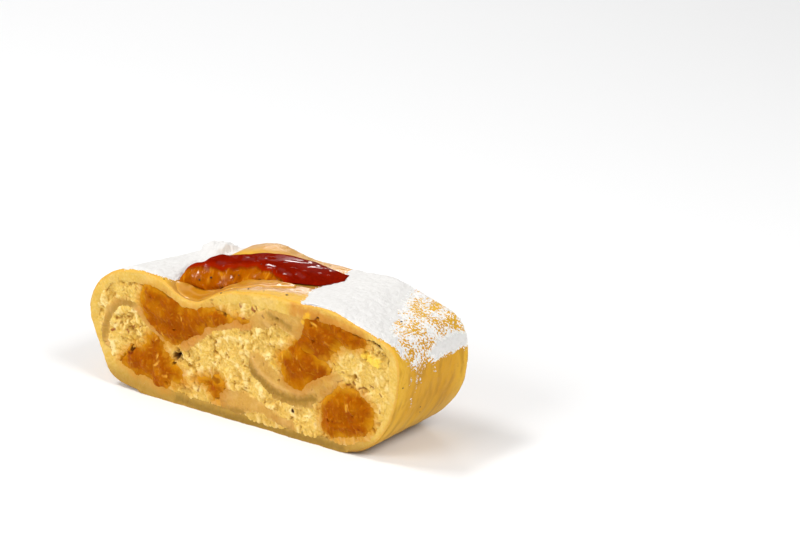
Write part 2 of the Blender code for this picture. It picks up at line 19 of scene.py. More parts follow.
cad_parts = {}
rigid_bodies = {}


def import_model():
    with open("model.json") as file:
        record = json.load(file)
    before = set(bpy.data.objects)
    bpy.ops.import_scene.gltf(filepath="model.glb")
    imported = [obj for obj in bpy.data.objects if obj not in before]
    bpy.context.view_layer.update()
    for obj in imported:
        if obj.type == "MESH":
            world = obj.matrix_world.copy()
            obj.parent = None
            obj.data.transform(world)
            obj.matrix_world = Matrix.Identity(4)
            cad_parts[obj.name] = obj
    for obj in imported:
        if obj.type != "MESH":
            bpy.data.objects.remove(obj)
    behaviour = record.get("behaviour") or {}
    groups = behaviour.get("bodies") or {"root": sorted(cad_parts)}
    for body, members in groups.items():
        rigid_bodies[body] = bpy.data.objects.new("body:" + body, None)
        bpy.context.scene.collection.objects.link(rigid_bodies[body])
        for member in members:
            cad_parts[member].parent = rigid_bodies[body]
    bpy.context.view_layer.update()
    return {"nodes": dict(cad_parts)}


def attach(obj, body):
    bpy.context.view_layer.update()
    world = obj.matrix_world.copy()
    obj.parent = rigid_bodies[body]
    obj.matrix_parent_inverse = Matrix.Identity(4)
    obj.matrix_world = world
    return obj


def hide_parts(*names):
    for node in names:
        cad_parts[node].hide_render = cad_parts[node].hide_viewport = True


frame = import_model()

MM = 0.001


def placed(name, data):
    """A new object of the scene that shows a mesh, a lamp or a camera."""
    thing = bpy.data.objects.new(name, data)
    bpy.context.scene.collection.objects.link(thing)
    return thing


# %% [markdown]
# ## Camera
# The slice is seen from its front right, a little from above. A wide lens close by would make the
# near end of the cut look much larger than the far one, so the lens is long and stands back.

# %% Camera
VIEW_TURN = math.radians(36.5)
VIEW_TILT = math.radians(19.5)
VIEW_PLACE = (0.501018, -0.610718, 0.321552)
VIEW_LENS = 121.05
SENSOR_WIDTH = 36.0
CLIP_START = 0.01

view = bpy.data.cameras.new("view")
view.lens = VIEW_LENS
view.sensor_width = SENSOR_WIDTH
view.clip_start = CLIP_START
camera = placed("view", view)
camera.location = VIEW_PLACE
forward = Vector((
    -math.sin(VIEW_TURN) * math.cos(VIEW_TILT),
    math.cos(VIEW_TURN) * math.cos(VIEW_TILT),
    -math.sin(VIEW_TILT),
))
camera.rotation_euler = forward.to_track_quat("-Z", "Y").to_euler()
bpy.context.scene.camera = camera
print("camera", round(camera.location.length, 3), "m from the middle of the slice")

# %% [markdown]
# ## Floor and light
# A white floor, an even white sky and four soft lamps: a large one in front on the left, which
# shows the relief of the cut, small ones behind and above on the left, whose reflections the wet
# fruit shows, and one on the right for the flank. The sky alone would light every pore evenly, and
# the crumb would look flat.

# %% Floor and light
def linear(colour):
    """A hex colour as linear red, green, blue and alpha."""
    parts = [int(colour[k:k + 2], 16) / 255 for k in (1, 3, 5)]
    return [c / 12.92 if c <= 0.04045 else ((c + 0.055) / 1.055) ** 2.4 for c in parts] + [1.0]


def add(tree, kind, settings=(), links=()):
    """Adds a node, sets its properties and inputs, and links its inputs."""
    node = tree.nodes.new(kind)
    for key, value in dict(settings).items():
        if isinstance(key, str) and key not in node.inputs.keys():
            setattr(node, key, value)
        else:
            node.inputs[key].default_value = value
    for key, socket in dict(links).items():
        tree.links.new(socket, node.inputs[key])
    return node


FLOOR_HALF = 3.0
SKY_STRENGTH = 0.3
LAMPS_AIM = Vector((0.0, 0.0, 0.02))
LAMPS = (
    ("front lamp", (-0.45, -1.15, 0.8), (0.9, 0.7), 10.2),
    ("back left lamp", (-0.85, 1.0, 0.6), (0.42, 0.26), 3.2),
    ("upper left lamp", (-0.55, -0.25, 1.05), (0.35, 0.25), 5.4),
    ("right lamp", (0.9, -0.15, 0.85), (0.5, 0.5), 8.0),
)

bm = bmesh.new()
bmesh.ops.create_grid(bm, x_segments=1, y_segments=1, size=FLOOR_HALF)
floor_mesh = bpy.data.meshes.new("floor")
bm.to_mesh(floor_mesh)
bm.free()
floor = placed("floor", floor_mesh)

# Matt white paint: it throws light back on the slice and shows no reflection of its own
paint = bpy.data.materials.new("matt white paint")
paint.use_nodes = True
paint.node_tree.nodes["Principled BSDF"].inputs["Base Color"].default_value = linear("#F4F4F4")
paint.node_tree.nodes["Principled BSDF"].inputs["Roughness"].default_value = 0.9
floor_mesh.materials.append(paint)

sky = bpy.data.worlds.new("sky")
sky.use_nodes = True
sky.node_tree.nodes["Background"].inputs["Color"].default_value = linear("#FFFFFF")
sky.node_tree.nodes["Background"].inputs["Strength"].default_value = SKY_STRENGTH
bpy.context.scene.world = sky
bpy.context.scene.view_settings.view_transform = "Standard"

for name, place, size, power in LAMPS:
    lamp = bpy.data.lights.new(name, "AREA")
    lamp.shape = "RECTANGLE"
    lamp.size, lamp.size_y = size
    lamp.energy = power
    thing = placed(name, lamp)
    thing.location = place
    thing.rotation_euler = (LAMPS_AIM - Vector(place)).to_track_quat("-Z", "Y").to_euler()
print("lamps", len(LAMPS))

# %% [markdown]
# ## Noise for baked food
# Crumb, fruit and dough are rough at many sizes at once. A displacement texture could do that, but
# it would not know where fruit meets crumb. So one function makes smooth waves for whole arrays of
# points, and waves of the sizes that the real food shows are added up and cut off.

# %% Noise
def chance(ix, iy, seed):
    """An even number from 0 to 1 for each cell of a grid."""
    mixed = (ix * 73856093) ^ (iy * 19349663) ^ (seed * 83492791)
    mixed = ((mixed ^ (mixed >> 13)) * 1274126177) & 0x7FFFFFFF
    mixed = mixed ^ (mixed >> 16)
    return (mixed & 0xFFFFF) / 0xFFFFF


def waves(x, y, size, seed=0):
    """Smooth noise from about -1 to 1, with bumps of about the size given."""
    gx, gy = x / size, y / size
    ix, iy = np.floor(gx).astype(np.int64), np.floor(gy).astype(np.int64)
    fx, fy = gx - ix, gy - iy
    ease = [f * f * f * (f * (f * 6 - 15) + 10) for f in (fx, fy)]
    total = np.zeros_like(gx)
    for dx in (0, 1):
        for dy in (0, 1):
            turn = 2 * np.pi * chance(ix + dx, iy + dy, seed)
            slope = np.cos(turn) * (fx - dx) + np.sin(turn) * (fy - dy)
            total += slope * (ease[0] if dx else 1 - ease[0]) * (ease[1] if dy else 1 - ease[1])
    return total * 1.55


def rise(values, low, high):
    """0 below low, 1 above high, and smooth between."""
    t = np.clip((values - low) / (high - low), 0, 1)
    return t * t * (3 - 2 * t)


spread = np.arange(0, 400) * 0.37
print("waves reach", round(float(np.abs(waves(spread, spread * 0.3, 2.0)).max()), 2))

# %% [markdown]
# ## From a solid to a fine mesh
# Each solid has a face at the front cut and one at the back cut, and walls between them that stay
# hidden. A subdivision modifier would divide all of it and round its corners, so long edges are
# halved instead, and only where the surface shows. A solid is loose triangles, so its copy is
# merged first, and its triangles are joined to squares where they can be. While a mesh is worked
# on, the material number of a face tells which part of the piece it belongs to.

# %% Dividing a solid
CAP_FROM = 15.4
CUT_CELL = 0.23
MERGE = 0.0005
WIDE = math.radians(70)
CUT, WALL, SKIN, BASE = 1, 2, 3, 4


def is_cap(face):
    """Whether a face belongs to one of the two cuts: all its corners lie beyond the last wall."""
    places = [vert.co.y for vert in face.verts]
    return min(places) > CAP_FROM * MM or max(places) < -CAP_FROM * MM


def merged(name):
    """A copy of a solid with its corners merged, and its faces marked as cut or wall."""
    bm = bmesh.new()
    bm.from_mesh(frame["nodes"][name].data)
    bmesh.ops.remove_doubles(bm, verts=bm.verts, dist=MERGE * MM)
    for face in bm.faces:
        face.material_index = CUT if is_cap(face) else WALL
    return bm


def divide(bm, part, cell):
    """Halves the long edges of one part of the surface until none is longer than the cell."""
    squares = [face for face in bm.faces if face.material_index == part]
    bmesh.ops.join_triangles(
        bm, faces=squares, angle_face_threshold=WIDE, angle_shape_threshold=WIDE)
    while True:
        bmesh.ops.triangulate(bm, faces=[
            face for face in bm.faces if face.material_index == part and len(face.verts) > 4])
        edges = {edge for face in bm.faces if face.material_index == part for edge in face.edges}
        long_ones = [edge for edge in edges if edge.calc_length() > cell * MM]
        if not long_ones:
            return
        bmesh.ops.subdivide_edges(bm, edges=long_ones, cuts=1, use_grid_fill=True)


print("the cuts are divided to", CUT_CELL, "mm")

# %% [markdown]
# ## Points as arrays
# Relief could be added point by point in the bmesh, but a slice has half a million points. So the
# points of a mesh are kept as arrays, with what the relief needs: the places in millimetres, which
# points lie on a cut, which on its rim, and which way the rim faces. Links much longer than a cell
# belong to hidden walls, and nothing is evened out along them.

# %% Points of a mesh
LONGEST_LINK = 1.5
CUTS_APART = 200.0


class Points:
    """The points of a piece: their places, their links, and the part that each belongs to."""

    def __init__(self, bm, name):
        self.mesh = bpy.data.meshes.new(name)
        bm.to_mesh(self.mesh)
        bm.free()
        polygons, count = self.mesh.polygons, len(self.mesh.vertices)
        sizes, part = np.empty(len(polygons), int), np.empty(len(polygons), int)
        polygons.foreach_get("loop_total", sizes)
        polygons.foreach_get("material_index", part)
        normals = np.empty(len(polygons) * 3)
        polygons.foreach_get("normal", normals)
        corners = np.empty(len(self.mesh.loops), int)
        self.mesh.loops.foreach_get("vertex_index", corners)
        owner = np.repeat(np.arange(len(polygons)), sizes)
        self.on_cap, self.on_skin, hidden = (
            np.bincount(corners[part[owner] == kind], minlength=count) > 0
            for kind in (CUT, SKIN, WALL))
        sideways = part[owner] != CUT
        self.out = np.zeros((count, 3))
        np.add.at(self.out, corners[sideways], normals.reshape(-1, 3)[owner[sideways]])
        self.out[:, 1] = 0
        self.out /= np.maximum(np.linalg.norm(self.out, axis=1), 1e-6)[:, None]
        self.links = np.empty(len(self.mesh.edges) * 2, int)
        self.mesh.edges.foreach_get("vertices", self.links)
        self.links = self.links.reshape(-1, 2)
        flat = np.empty(count * 3)
        self.mesh.vertices.foreach_get("co", flat)
        self.co = flat.reshape(-1, 3) / MM
        span = np.linalg.norm(self.co[self.links[:, 0]] - self.co[self.links[:, 1]], axis=1)
        self.links = self.links[span < LONGEST_LINK]
        self.rim = hidden & self.on_cap
        self.side = np.sign(self.co[:, 1])

    def evened(self, values, moved, rounds):
        """The values of the moved points, brought nearer to those of their neighbours."""
        links, size = self.links, len(values)
        links = links[moved[links[:, 0]] | moved[links[:, 1]]]
        count = np.bincount(links.ravel(), minlength=size).clip(1)
        values = values.copy()
        for _ in range(rounds):
            total = np.bincount(links[:, 0], values[links[:, 1]], size)
            total += np.bincount(links[:, 1], values[links[:, 0]], size)
            values[moved] += 0.5 * (total / count - values)[moved]
        return values

    def relax(self, moved, axes, rounds):
        """Moves points towards the middle of their neighbours."""
        for axis in axes:
            self.co[:, axis] = self.evened(self.co[:, axis], moved, rounds)

    def facing(self):
        """The direction that each point of the surface faces."""
        self.mesh.vertices.foreach_set("co", (self.co * MM).ravel())
        self.mesh.update()
        flat = np.empty(len(self.co) * 3)
        self.mesh.vertices.foreach_get("normal", flat)
        return flat.reshape(-1, 3)

    def store(self, traits):
        """Writes the places and the traits, such as how moist a point is, to the mesh."""
        self.mesh.vertices.foreach_set("co", (self.co * MM).ravel())
        for label, values in traits.items():
            trait = self.mesh.attributes.new(label, "FLOAT", "POINT")
            trait.data.foreach_set("value", np.asarray(values, np.float32))
        self.mesh.polygons.foreach_set("material_index", np.zeros(len(self.mesh.polygons), int))
        self.mesh.shade_smooth()
        self.mesh.update()


def flat_places(points, mask):
    """The places on the cuts, with the two cuts kept far apart."""
    places = points.co[mask].copy()
    places[:, 1] = points.side[mask] * CUTS_APART / 2
    return places


def nearest(places, targets):
    """The distance from each place to the nearest target, and which one that is."""
    tree = KDTree(len(targets))
    for k, target in enumerate(targets):
        tree.insert(target, k)
    tree.balance()
    found = [tree.find(place)[1:] for place in places]
    return np.array([away for _, away in found]), np.array([k for k, _ in found])


print("points in reach of each other:", LONGEST_LINK, "mm")

# %% [markdown]
# ## Small features of the front cut
# A few things catch the eye in this cut: the hole between the two apricots on the left, cracks,
# pores, creases in the folded dough, and bits of nut. They could be painted, but holes and creases
# need depth. So each is a short line with a width and a depth, and a trait that its finish reads.
# Random ones, from fixed seeds, stand for the rest and for the back cut.

# %% Features
# Each line: the trait, its points (x, z), its half width, its depth, and how strong it is
# Besides their depth, holes, pores and olive lines are darkened in the finishes: painted shade.
FEATURES = (
    ("hole", ((-25.7, 15.9), (-25.0, 16.7)), 1.6, 3.2, 1.0),
    ("hole", ((-25.8, 15.2), (-26.6, 14.0), (-27.6, 13.0)), 0.5, 0.9, 0.7),
    ("hole", ((-44.8, 13.9), (-43.4, 15.2)), 0.5, 0.8, 0.8),
    ("nut", ((-46.7, 12.6), (-44.7, 12.8), (-43.9, 13.6)), 0.55, 0.3, 0.8),
    ("nut", ((-49.2, 9.4), (-47.4, 11.6)), 0.4, 0.3, 0.6),
    ("pore", ((-50.4, 23.7), (-48.0, 24.7), (-45.4, 24.6)), 0.9, 0.8, 0.9),
    ("pore", ((-46.4, 26.2), (-43.4, 26.0)), 0.7, 0.7, 0.8),
    ("pore", ((-49.3, 22.3), (-47.2, 22.8)), 0.45, 0.6, 0.8),
    ("pore", ((-48.9, 36.3), (-46.5, 36.6), (-44.3, 36.4)), 0.8, 0.8, 0.85),
    ("pore", ((-43.3, 37.0), (-40.4, 37.2), (-38.4, 36.6)), 0.7, 0.7, 0.8),
    ("hole", ((-33.8, 37.6), (-31.6, 36.7), (-29.8, 35.9), (-28.0, 34.9)), 0.35, 0.5, 0.5),
    ("hole", ((-8.4, 35.4), (-6.8, 35.3), (-4.6, 34.6)), 0.6, 0.5, 0.7),
    ("deep", ((-30.6, 26.6), (-27.4, 26.8), (-24.4, 26.0)), 1.9, 0.3, 1.0),
    ("deep", ((-22.4, 25.6), (-19.6, 26.6)), 1.5, 0.2, 0.8),
    ("deep", ((-34.6, 35.0), (-31.0, 34.0)), 1.4, 0.0, 0.5),
    ("nut", ((-51.6, 19.6), (-52.5, 18.9)), 0.55, -0.2, 0.9),
    ("nut", ((-46.6, 20.4), (-46.0, 19.6)), 0.5, -0.2, 0.9),
    ("nut", ((-43.3, 22.7), (-43.9, 21.8)), 0.45, -0.2, 0.9),
    ("nut", ((-53.3, 34.8), (-52.9, 34.4)), 0.4, -0.1, 0.8),
    ("nut", ((-51.2, 32.0), (-51.0, 31.6)), 0.35, -0.1, 0.7),
    ("nut", ((-42.3, 35.3), (-41.9, 34.9)), 0.4, -0.1, 0.6),
    ("nut", ((0.6, 38.9), (1.2, 38.3)), 0.5, -0.2, 0.8),
    ("nut", ((5.6, 38.9), (6.6, 38.3)), 0.6, -0.2, 0.9),
    ("nut", ((6.8, 39.5), (7.3, 39.2)), 0.4, -0.1, 0.8),
    ("nut", ((2.2, 35.4), (2.8, 35.0)), 0.45, -0.1, 0.8),
    ("nut", ((9.8, 37.4), (10.4, 37.0)), 0.4, -0.1, 0.7),
    ("pore", ((9.4, 39.3), (11.6, 39.9), (13.6, 40.1), (15.6, 40.3)), 0.45, 0.9, 0.9),
    ("pore", ((4.2, 30.9), (4.8, 30.2)), 0.65, 1.0, 1.0),
    ("pore", ((2.1, 29.6), (2.2, 29.2)), 0.45, 0.7, 0.9),
    ("pore", ((-5.4, 21.3), (-5.2, 20.8)), 0.6, 0.9, 0.9),
    ("pore", ((-11.6, 25.4), (-11.1, 24.7)), 0.5, 0.8, 0.9),
    ("pore", ((1.4, 20.0), (2.0, 19.3)), 0.65, 0.9, 0.9),
    ("pore", ((-7.6, 26.9), (-6.8, 27.3)), 0.45, 0.7, 0.8),
    ("nut", ((12.2, 28.9), (13.5, 28.0)), 0.45, 0.4, 0.6),
    ("nut", ((-22.6, 18.6), (-20.8, 19.2)), 0.4, 0.1, 0.7),
    ("pore", ((14.4, 35.9), (16.4, 35.0), (18.8, 34.7)), 0.35, 0.8, 0.7),
    ("nut", ((-11.2, 11.8), (-8.8, 11.2)), 0.7, 0.2, 0.7),
    ("nut", ((-6.6, 9.7), (-7.2, 8.3)), 0.5, 0.3, 0.9),
    ("nut", ((-17.4, 6.3), (-16.6, 7.9)), 0.35, 0.1, 0.7),
    ("hole", ((20.8, 8.8), (21.2, 8.6)), 0.4, 0.2, 1.0),
    ("hole", ((28.2, 40.3), (29.6, 40.7), (31.0, 41.7)), 0.35, 0.8, 0.9),
    ("bright", ((25.6, 39.2), (26.4, 41.0), (28.0, 41.6)), 0.9, -0.3, 0.9),
    ("hole", ((44.4, 39.1), (46.4, 38.5), (49.2, 38.3)), 0.35, 0.8, 0.6),
    ("hole", ((49.2, 38.3), (52.0, 38.2), (54.6, 37.2), (56.2, 35.8)), 0.5, 1.2, 0.75),
    ("hole", ((56.2, 35.8), (57.3, 34.0), (57.8, 31.8)), 0.4, 1.0, 0.6),
    ("deep", ((29.6, 40.2), (32.6, 39.6), (35.6, 38.6), (37.6, 37.4)), 1.3, 0.2, 1.0),
    ("deep", ((36.8, 34.6), (37.6, 33.0)), 1.2, 0.2, 0.7),
    ("nut", ((36.9, 32.0), (36.5, 30.8)), 0.35, 0.2, 0.8),
    ("nut", ((37.0, 28.3), (37.5, 27.7)), 0.5, 0.0, 0.8),
    ("hole", ((35.4, 24.9), (36.5, 25.1)), 0.45, 0.4, 0.9),
    ("nut", ((40.3, 26.4), (40.9, 26.1)), 0.45, 0.0, 0.5),
    ("bright", ((49.4, 33.4), (51.4, 32.6), (53.6, 32.2)), 1.5, -0.6, 1.0),
    ("nut", ((38.6, 22.7), (39.9, 23.3)), 0.55, 0.5, 0.7),
    ("nut", ((42.0, 22.3), (43.0, 22.9)), 0.45, 0.4, 0.7),
    ("nut", ((44.2, 23.6), (45.0, 23.0)), 0.6, 0.5, 0.75),
    ("nut", ((46.6, 22.3), (47.9, 22.9), (48.8, 22.6)), 0.45, 0.5, 0.7),
    ("nut", ((50.4, 24.3), (51.3, 23.7)), 0.45, 0.3, 0.7),
    ("nut", ((41.0, 24.6), (41.5, 24.1)), 0.35, 0.2, 0.6),
    ("pore", ((43.4, 21.8), (46.0, 21.4), (49.4, 22.0)), 0.8, 0.7, 0.7),
    ("nut", ((54.4, 22.4), (55.0, 21.8)), 0.5, 0.0, 0.7),
    ("nut", ((54.0, 17.2), (54.1, 16.2)), 0.4, 0.0, 0.6),
    ("nut", ((46.4, 9.7), (47.0, 9.2)), 0.4, 0.0, 0.6),
    ("nut", ((48.4, 8.2), (48.8, 7.7)), 0.4, 0.0, 0.6),
    ("nut", ((36.6, 4.9), (37.4, 4.6)), 0.4, 0.0, 0.6),
    # Olive lines along the creases of the folded dough and along the base: olive of moist dough,
    # deepened by painted shade
    ("olive", ((3.0, 22.1), (4.4, 19.3), (7.4, 16.6), (12.2, 13.9), (17.8, 12.6), (24.0, 13.0),
               (28.6, 14.8)), 1.5, 0.2, 1.0),
    ("olive", ((-56.9, 14.6), (-55.0, 21.4), (-52.2, 26.2), (-47.3, 29.4), (-42.2, 30.1),
               (-37.3, 29.0), (-34.2, 26.6)), 1.0, 0.1, 0.65),
    ("olive", ((-14.5, 4.0), (-8.6, 3.0), (-1.5, 3.9), (3.9, 3.1), (11.6, 2.9), (20.1, 2.5)),
     1.0, 0.1, 0.8),
    ("olive", ((-26.0, 1.6), (-8.0, 1.0), (20.0, 0.8), (40.0, 1.2)), 1.2, 0.0, 0.8),
    ("pale", ((0.4, 21.0), (2.0, 17.6), (5.6, 14.4), (11.0, 11.4), (17.6, 9.9), (24.8, 10.4)), 0.9,
     -0.15, 0.9),
    ("pale", ((5.4, 23.0), (6.8, 20.6), (9.2, 18.6), (13.4, 16.4), (18.2, 15.2), (23.4, 15.4),
              (29.0, 17.5)), 0.8, -0.15, 0.9),
    ("pale", ((-54.8, 14.2), (-53.2, 20.4), (-50.8, 24.6), (-46.8, 27.4), (-42.2, 28.2),
              (-38.0, 27.2), (-35.4, 25.0), (-33.0, 21.0), (-29.5, 17.5)), 0.8, -0.15, 0.9),
    ("pale", ((11.0, 35.6), (15.0, 33.6), (19.0, 31.6)), 1.0, -0.2, 0.8),
    ("olive", ((12.4, 38.2), (16.4, 37.4), (20.6, 36.0)), 0.9, 0.2, 0.7),
    ("stain", ((22.0, 42.6), (28.0, 42.4), (34.0, 41.6), (40.0, 40.4), (47.0, 38.8)), 2.4, 0.0,
     1.0),
    ("stain", ((-27.0, 8.0), (-24.0, 8.6), (-20.0, 7.6)), 1.6, 0.0, 0.6),
)
RANDOM_BITS = 110
NUT_SHARE = 0.7
SOFT_TRAITS = ("olive", "stain", "deep", "pale")


def to_line(x, z, line):
    """The distance from each point to a line through the given places."""
    best = np.full(x.shape, 99.0)
    for (ax, az), (bx, bz) in zip(line, line[1:]):
        along = np.array([bx - ax, bz - az])
        share = ((x - ax) * along[0] + (z - az) * along[1]) / along.dot(along)
        share = np.clip(share, 0, 1)
        best = np.minimum(best, np.hypot(x - ax - share * along[0], z - az - share * along[1]))
    return best


def scattered(seed, count):
    """Short lines at random places in the section, for bits of nut and open pores."""
    draw = np.random.default_rng(seed)
    found = []
    for k in range(count):
        x, z = draw.uniform(-56, 57), draw.uniform(4, 40)
        turn, length = draw.uniform(0, math.pi), draw.uniform(0.1, 0.5)
        end = (x + math.cos(turn) * length, z + math.sin(turn) * length)
        trait = "nut" if k % 2 == 0 else "pore"
        depth = -0.1 if trait == "nut" else 0.8
        half = draw.uniform(0.16, 0.34) if trait == "nut" else draw.uniform(0.35, 0.75)
        found.append((trait, ((x, z), end), half, depth, draw.uniform(0.4, 0.9)))
    return found


def with_features(x, z, front, height, traits):
    """Adds the features to the relief and the traits of a cut."""
    wobble = waves(x, z, 1.4, 71) * 0.45 + waves(x, z, 0.6, 73) * 0.3
    open_here = rise(waves(x, z, 1.1, 75), -0.25, 0.25)
    for at_front, features in ((True, list(FEATURES) + scattered(5, RANDOM_BITS // 2)),
                               (False, scattered(9, RANDOM_BITS))):
        for trait, line, half, depth, strength in features:
            if trait == "nut":
                half = half * NUT_SHARE
            soft = trait in SOFT_TRAITS
            low, high = (0.0, 1.6) if soft else (0.4, 1.3)
            mask = 1 - rise(to_line(x, z, line) / half + wobble * (0.6 if soft else 1), low, high)
            if trait == "pore":
                mask *= 0.25 + 0.75 * open_here
            mask *= front == at_front
            height -= mask * depth
            traits[trait] = np.maximum(traits.get(trait, 0.0), mask * strength)
    return height, traits


print("features", len(FEATURES))

# %% [markdown]
# ## Relief of each kind of food
# Crumb breaks into lumps with pores between them, more so in some places than in others. Fruit has
# fibres that run one way and swells where it is wet. Cut dough is smooth, with a few fine pores.
# The same noise for all of them would make them look cast from one paste, so each has a function
# of its own. It gives how far the surface stands out of the cut, and the traits for its finish, so
# that painted shade darkens a pore exactly where it is deep.

# %% Crumb, fruit and dough
def crumb_relief(x, z, seed, lean=0.0):
    bent_x = x + 0.5 * waves(x, z, 1.6, seed + 1)
    bent_z = z + 0.5 * waves(x, z, 1.6, seed + 2)
    large = waves(bent_x, bent_z, 3.2, seed)
    small = waves(bent_x, bent_z, 1.3, seed + 3)
    fine = waves(x, z, 0.62, seed + 14)
    lump = rise(large + 0.55 * small + 0.2 * fine, -0.55, 0.45)
    grain = rise(small + 0.7 * fine, -0.7, 0.3)
    broken = 0.15 + 0.85 * rise(waves(x, z, 8.0, seed + 4), -0.35, 0.45)
    loose = 0.25 + 0.75 * rise(waves(x, z, 5.0, seed + 11), -0.4, 0.5)
    pit = rise(waves(x, z, 2.2, seed + 5) + 0.25 * fine, 0.45, 0.8) * broken
    pin = rise(waves(x, z, 0.75, seed + 6), 0.45, 0.8)
    height = 0.35 * waves(x, z, 6.0, seed + 7) + 0.12 * waves(x, z, 0.55, seed + 8)
    height += 0.12 * waves(x, z, 1.5, seed + 12) - 1.1 * pit - 0.2 * pin
    height += 0.55 * broken * (lump - 1) + 0.24 * loose * (grain - 0.8)
    # Painted shade: how much darker the crumb is between its lumps and in its pits
    pore = 0.6 * (1 - lump) * broken + 0.35 * (1 - grain) * loose + 0.85 * pit + 0.5 * pin
    tone = waves(x, z, 7.0, seed + 9) + 0.5 * waves(x, z, 2.5, seed + 10)
    # Painted light: how much lighter the tops of the lumps are
    peak = rise(large + 0.4 * small, 0.0, 0.8) * (0.4 + 0.6 * grain)
    return height, {"pore": np.clip(pore, 0, 1), "tone": tone, "peak": peak}


def fruit_relief(x, z, seed, lean):
    along = x * math.cos(lean) + z * math.sin(lean) + 2.0 * waves(x, z, 5.0, seed + 1)
    across = z * math.cos(lean) - x * math.sin(lean) + 1.5 * waves(x, z, 4.0, seed + 2)
    fibre = waves(along / 4.2, across / 1.5, 1.0, seed + 3)
    thread = waves(along / 3.2, across / 0.6, 1.0, seed + 4)
    height = 0.6 * waves(x, z, 4.2, seed + 5) + 0.16 * fibre + 0.09 * thread
    height += 0.05 * waves(x, z, 0.7, seed + 9)
    hairs = np.zeros(x.shape)
    for k, size in enumerate((3.0, 2.3, 1.7)):
        hair = np.exp(-(waves(x, z, size, seed + 30 + k) * size / 0.45) ** 2)
        hairs = np.maximum(hairs, hair * rise(waves(x, z, 1.6, seed + 40 + k), 0.25, 0.7))
    height += 0.1 * hairs
    cloud = waves(x, z, 7.0, seed + 6) + 0.4 * waves(x, z, 2.6, seed + 7)
    some = rise(waves(x, z, 2.6, seed + 8), -0.1, 0.5)
    traits = {
        "deep": 0.85 * rise(cloud, 0.1, 0.9),
        "light": rise(-cloud, 0.0, 0.8),
        # Fibres lightened where they would catch the light: painted highlight
        "bright": 0.8 * rise(fibre + 0.4 * thread - 0.2 * cloud, 0.45, 0.85) * some,
        "thread": 0.6 * rise(thread, 0.2, 0.9),
        "hair": hairs,
    }
    return height, traits


def dough_relief(x, z, seed, lean=0.0):
    height = 0.24 * waves(x, z, 3.6, seed + 1) + 0.1 * waves(x, z, 1.1, seed + 2)
    # Fine pores, which the finish darkens with painted shade
    pore = rise(waves(x, z, 0.95, seed + 3), 0.42, 0.85)
    pore *= rise(waves(x, z, 5.0, seed + 7), -0.4, 0.4)
    height += 0.07 * waves(x, z, 0.55, seed + 4) - 0.26 * pore
    tone = waves(x, z, 9.0, seed + 5) + 0.5 * waves(x, z, 2.6, seed + 6)
    pale = rise(waves(x, z, 5.0, seed + 8) + 0.3 * waves(x, z, 1.4, seed + 9), 0.0, 0.9)
    return height, {"pore": pore, "tone": tone, "pale": 0.7 * pale}


RELIEF = {"fruit": fruit_relief, "crumb": crumb_relief, "dough": dough_relief}
print("kinds of relief", list(RELIEF))

# %% [markdown]
# ## All pieces of the section
# The solids are divided first, all of them, because each piece needs to know its neighbours: the
# height at which they meet, and how near the fruit is, whose juice soaks crumb and dough. One
# piece after the other would be simpler, but then every border would show as a step.

# %% The divided pieces
# Which way the fibres of each apricot run, in radians
FRUIT = {
    "apricot_upper_left": 2.4, "apricot_lower_left": 1.0, "apricot_small": 0.6,
    "apricot_middle": 1.9, "apricot_upper_right": -0.3, "apricot_lower_right": 1.3,
}
BASE_TOP = 0.3
CUT_ROUNDS = 6
SKIN_CELL = 0.8
SHEET_CELL = 0.34
HEART_HALF_WIDTH = 38.0
HEART_HEIGHT = 20.0


def mark_skin(bm):
    """Marks the base of the roll, and its outside above the base."""
    for face in bm.faces:
        centre = face.calc_center_median() / MM
        if face.material_index == WALL and centre.z < BASE_TOP:
            face.material_index = BASE
        heart = max(-HEART_HALF_WIDTH, min(HEART_HALF_WIDTH, centre.x))
        outwards = face.normal.dot(centre - Vector((heart, centre.y, HEART_HEIGHT))) > 0
        if face.material_index == WALL and centre.z > BASE_TOP and outwards:
            face.material_index = SKIN


def kind_of(node):
    return {"apricot": "fruit", "crumb": "crumb"}.get(node.split("_")[0], "dough")


pieces = {}
for node in sorted(frame["nodes"]):
    if node in ("apricot_top", "sugar_left", "sugar_right"):
        continue
    bm = merged(node)
    divide(bm, CUT, SHEET_CELL if node == "outer_dough" else CUT_CELL)
    if node == "outer_dough":
        mark_skin(bm)
        divide(bm, SKIN, SKIN_CELL)
    points = Points(bm, node + "_baked")
    points.relax(points.on_cap & ~points.rim, (1,), CUT_ROUNDS)
    pieces[node] = points

rims = {"fruit": [], "crumb": [], "dough": []}
for node, points in pieces.items():
    rims[kind_of(node)].append(flat_places(points, points.rim))
rims = {kind: np.concatenate(found) for kind, found in rims.items()}
print("pieces", len(pieces), "points", sum(len(points.co) for points in pieces.values()))

# %% [markdown]
# ## The height where pieces meet
# The solids' faces lie a little higher or lower than their neighbours'. With these steps the cut
# would look like inlaid work, and without any difference in height it would look ground flat. So
# only near a border is each piece brought to a shared height, the mean height of the rims there.

# %% Shared height
LEVEL_STEP = 1.0
LEVEL_REACH = 1.6
LEVEL_X = np.arange(-66.0, 66.5, LEVEL_STEP)
LEVEL_Z = np.arange(-3.0, 52.5, LEVEL_STEP)


def shared_levels(side):
    """The mean height of the rims near each place of a grid over one cut."""
    rows = []
    found = [points.co[points.rim & (points.side == side)] for points in pieces.values()]
    found = np.concatenate(found)
    for z in LEVEL_Z:
        away = (found[:, 0] - LEVEL_X[:, None]) ** 2 + (found[:, 2] - z) ** 2
        weight = np.exp(-away / (2 * LEVEL_REACH ** 2)) + 1e-6
        rows.append((weight * np.abs(found[:, 1])).sum(axis=1) / weight.sum(axis=1))
    return np.array(rows)


LEVELS = {side: shared_levels(side) for side in (-1, 1)}


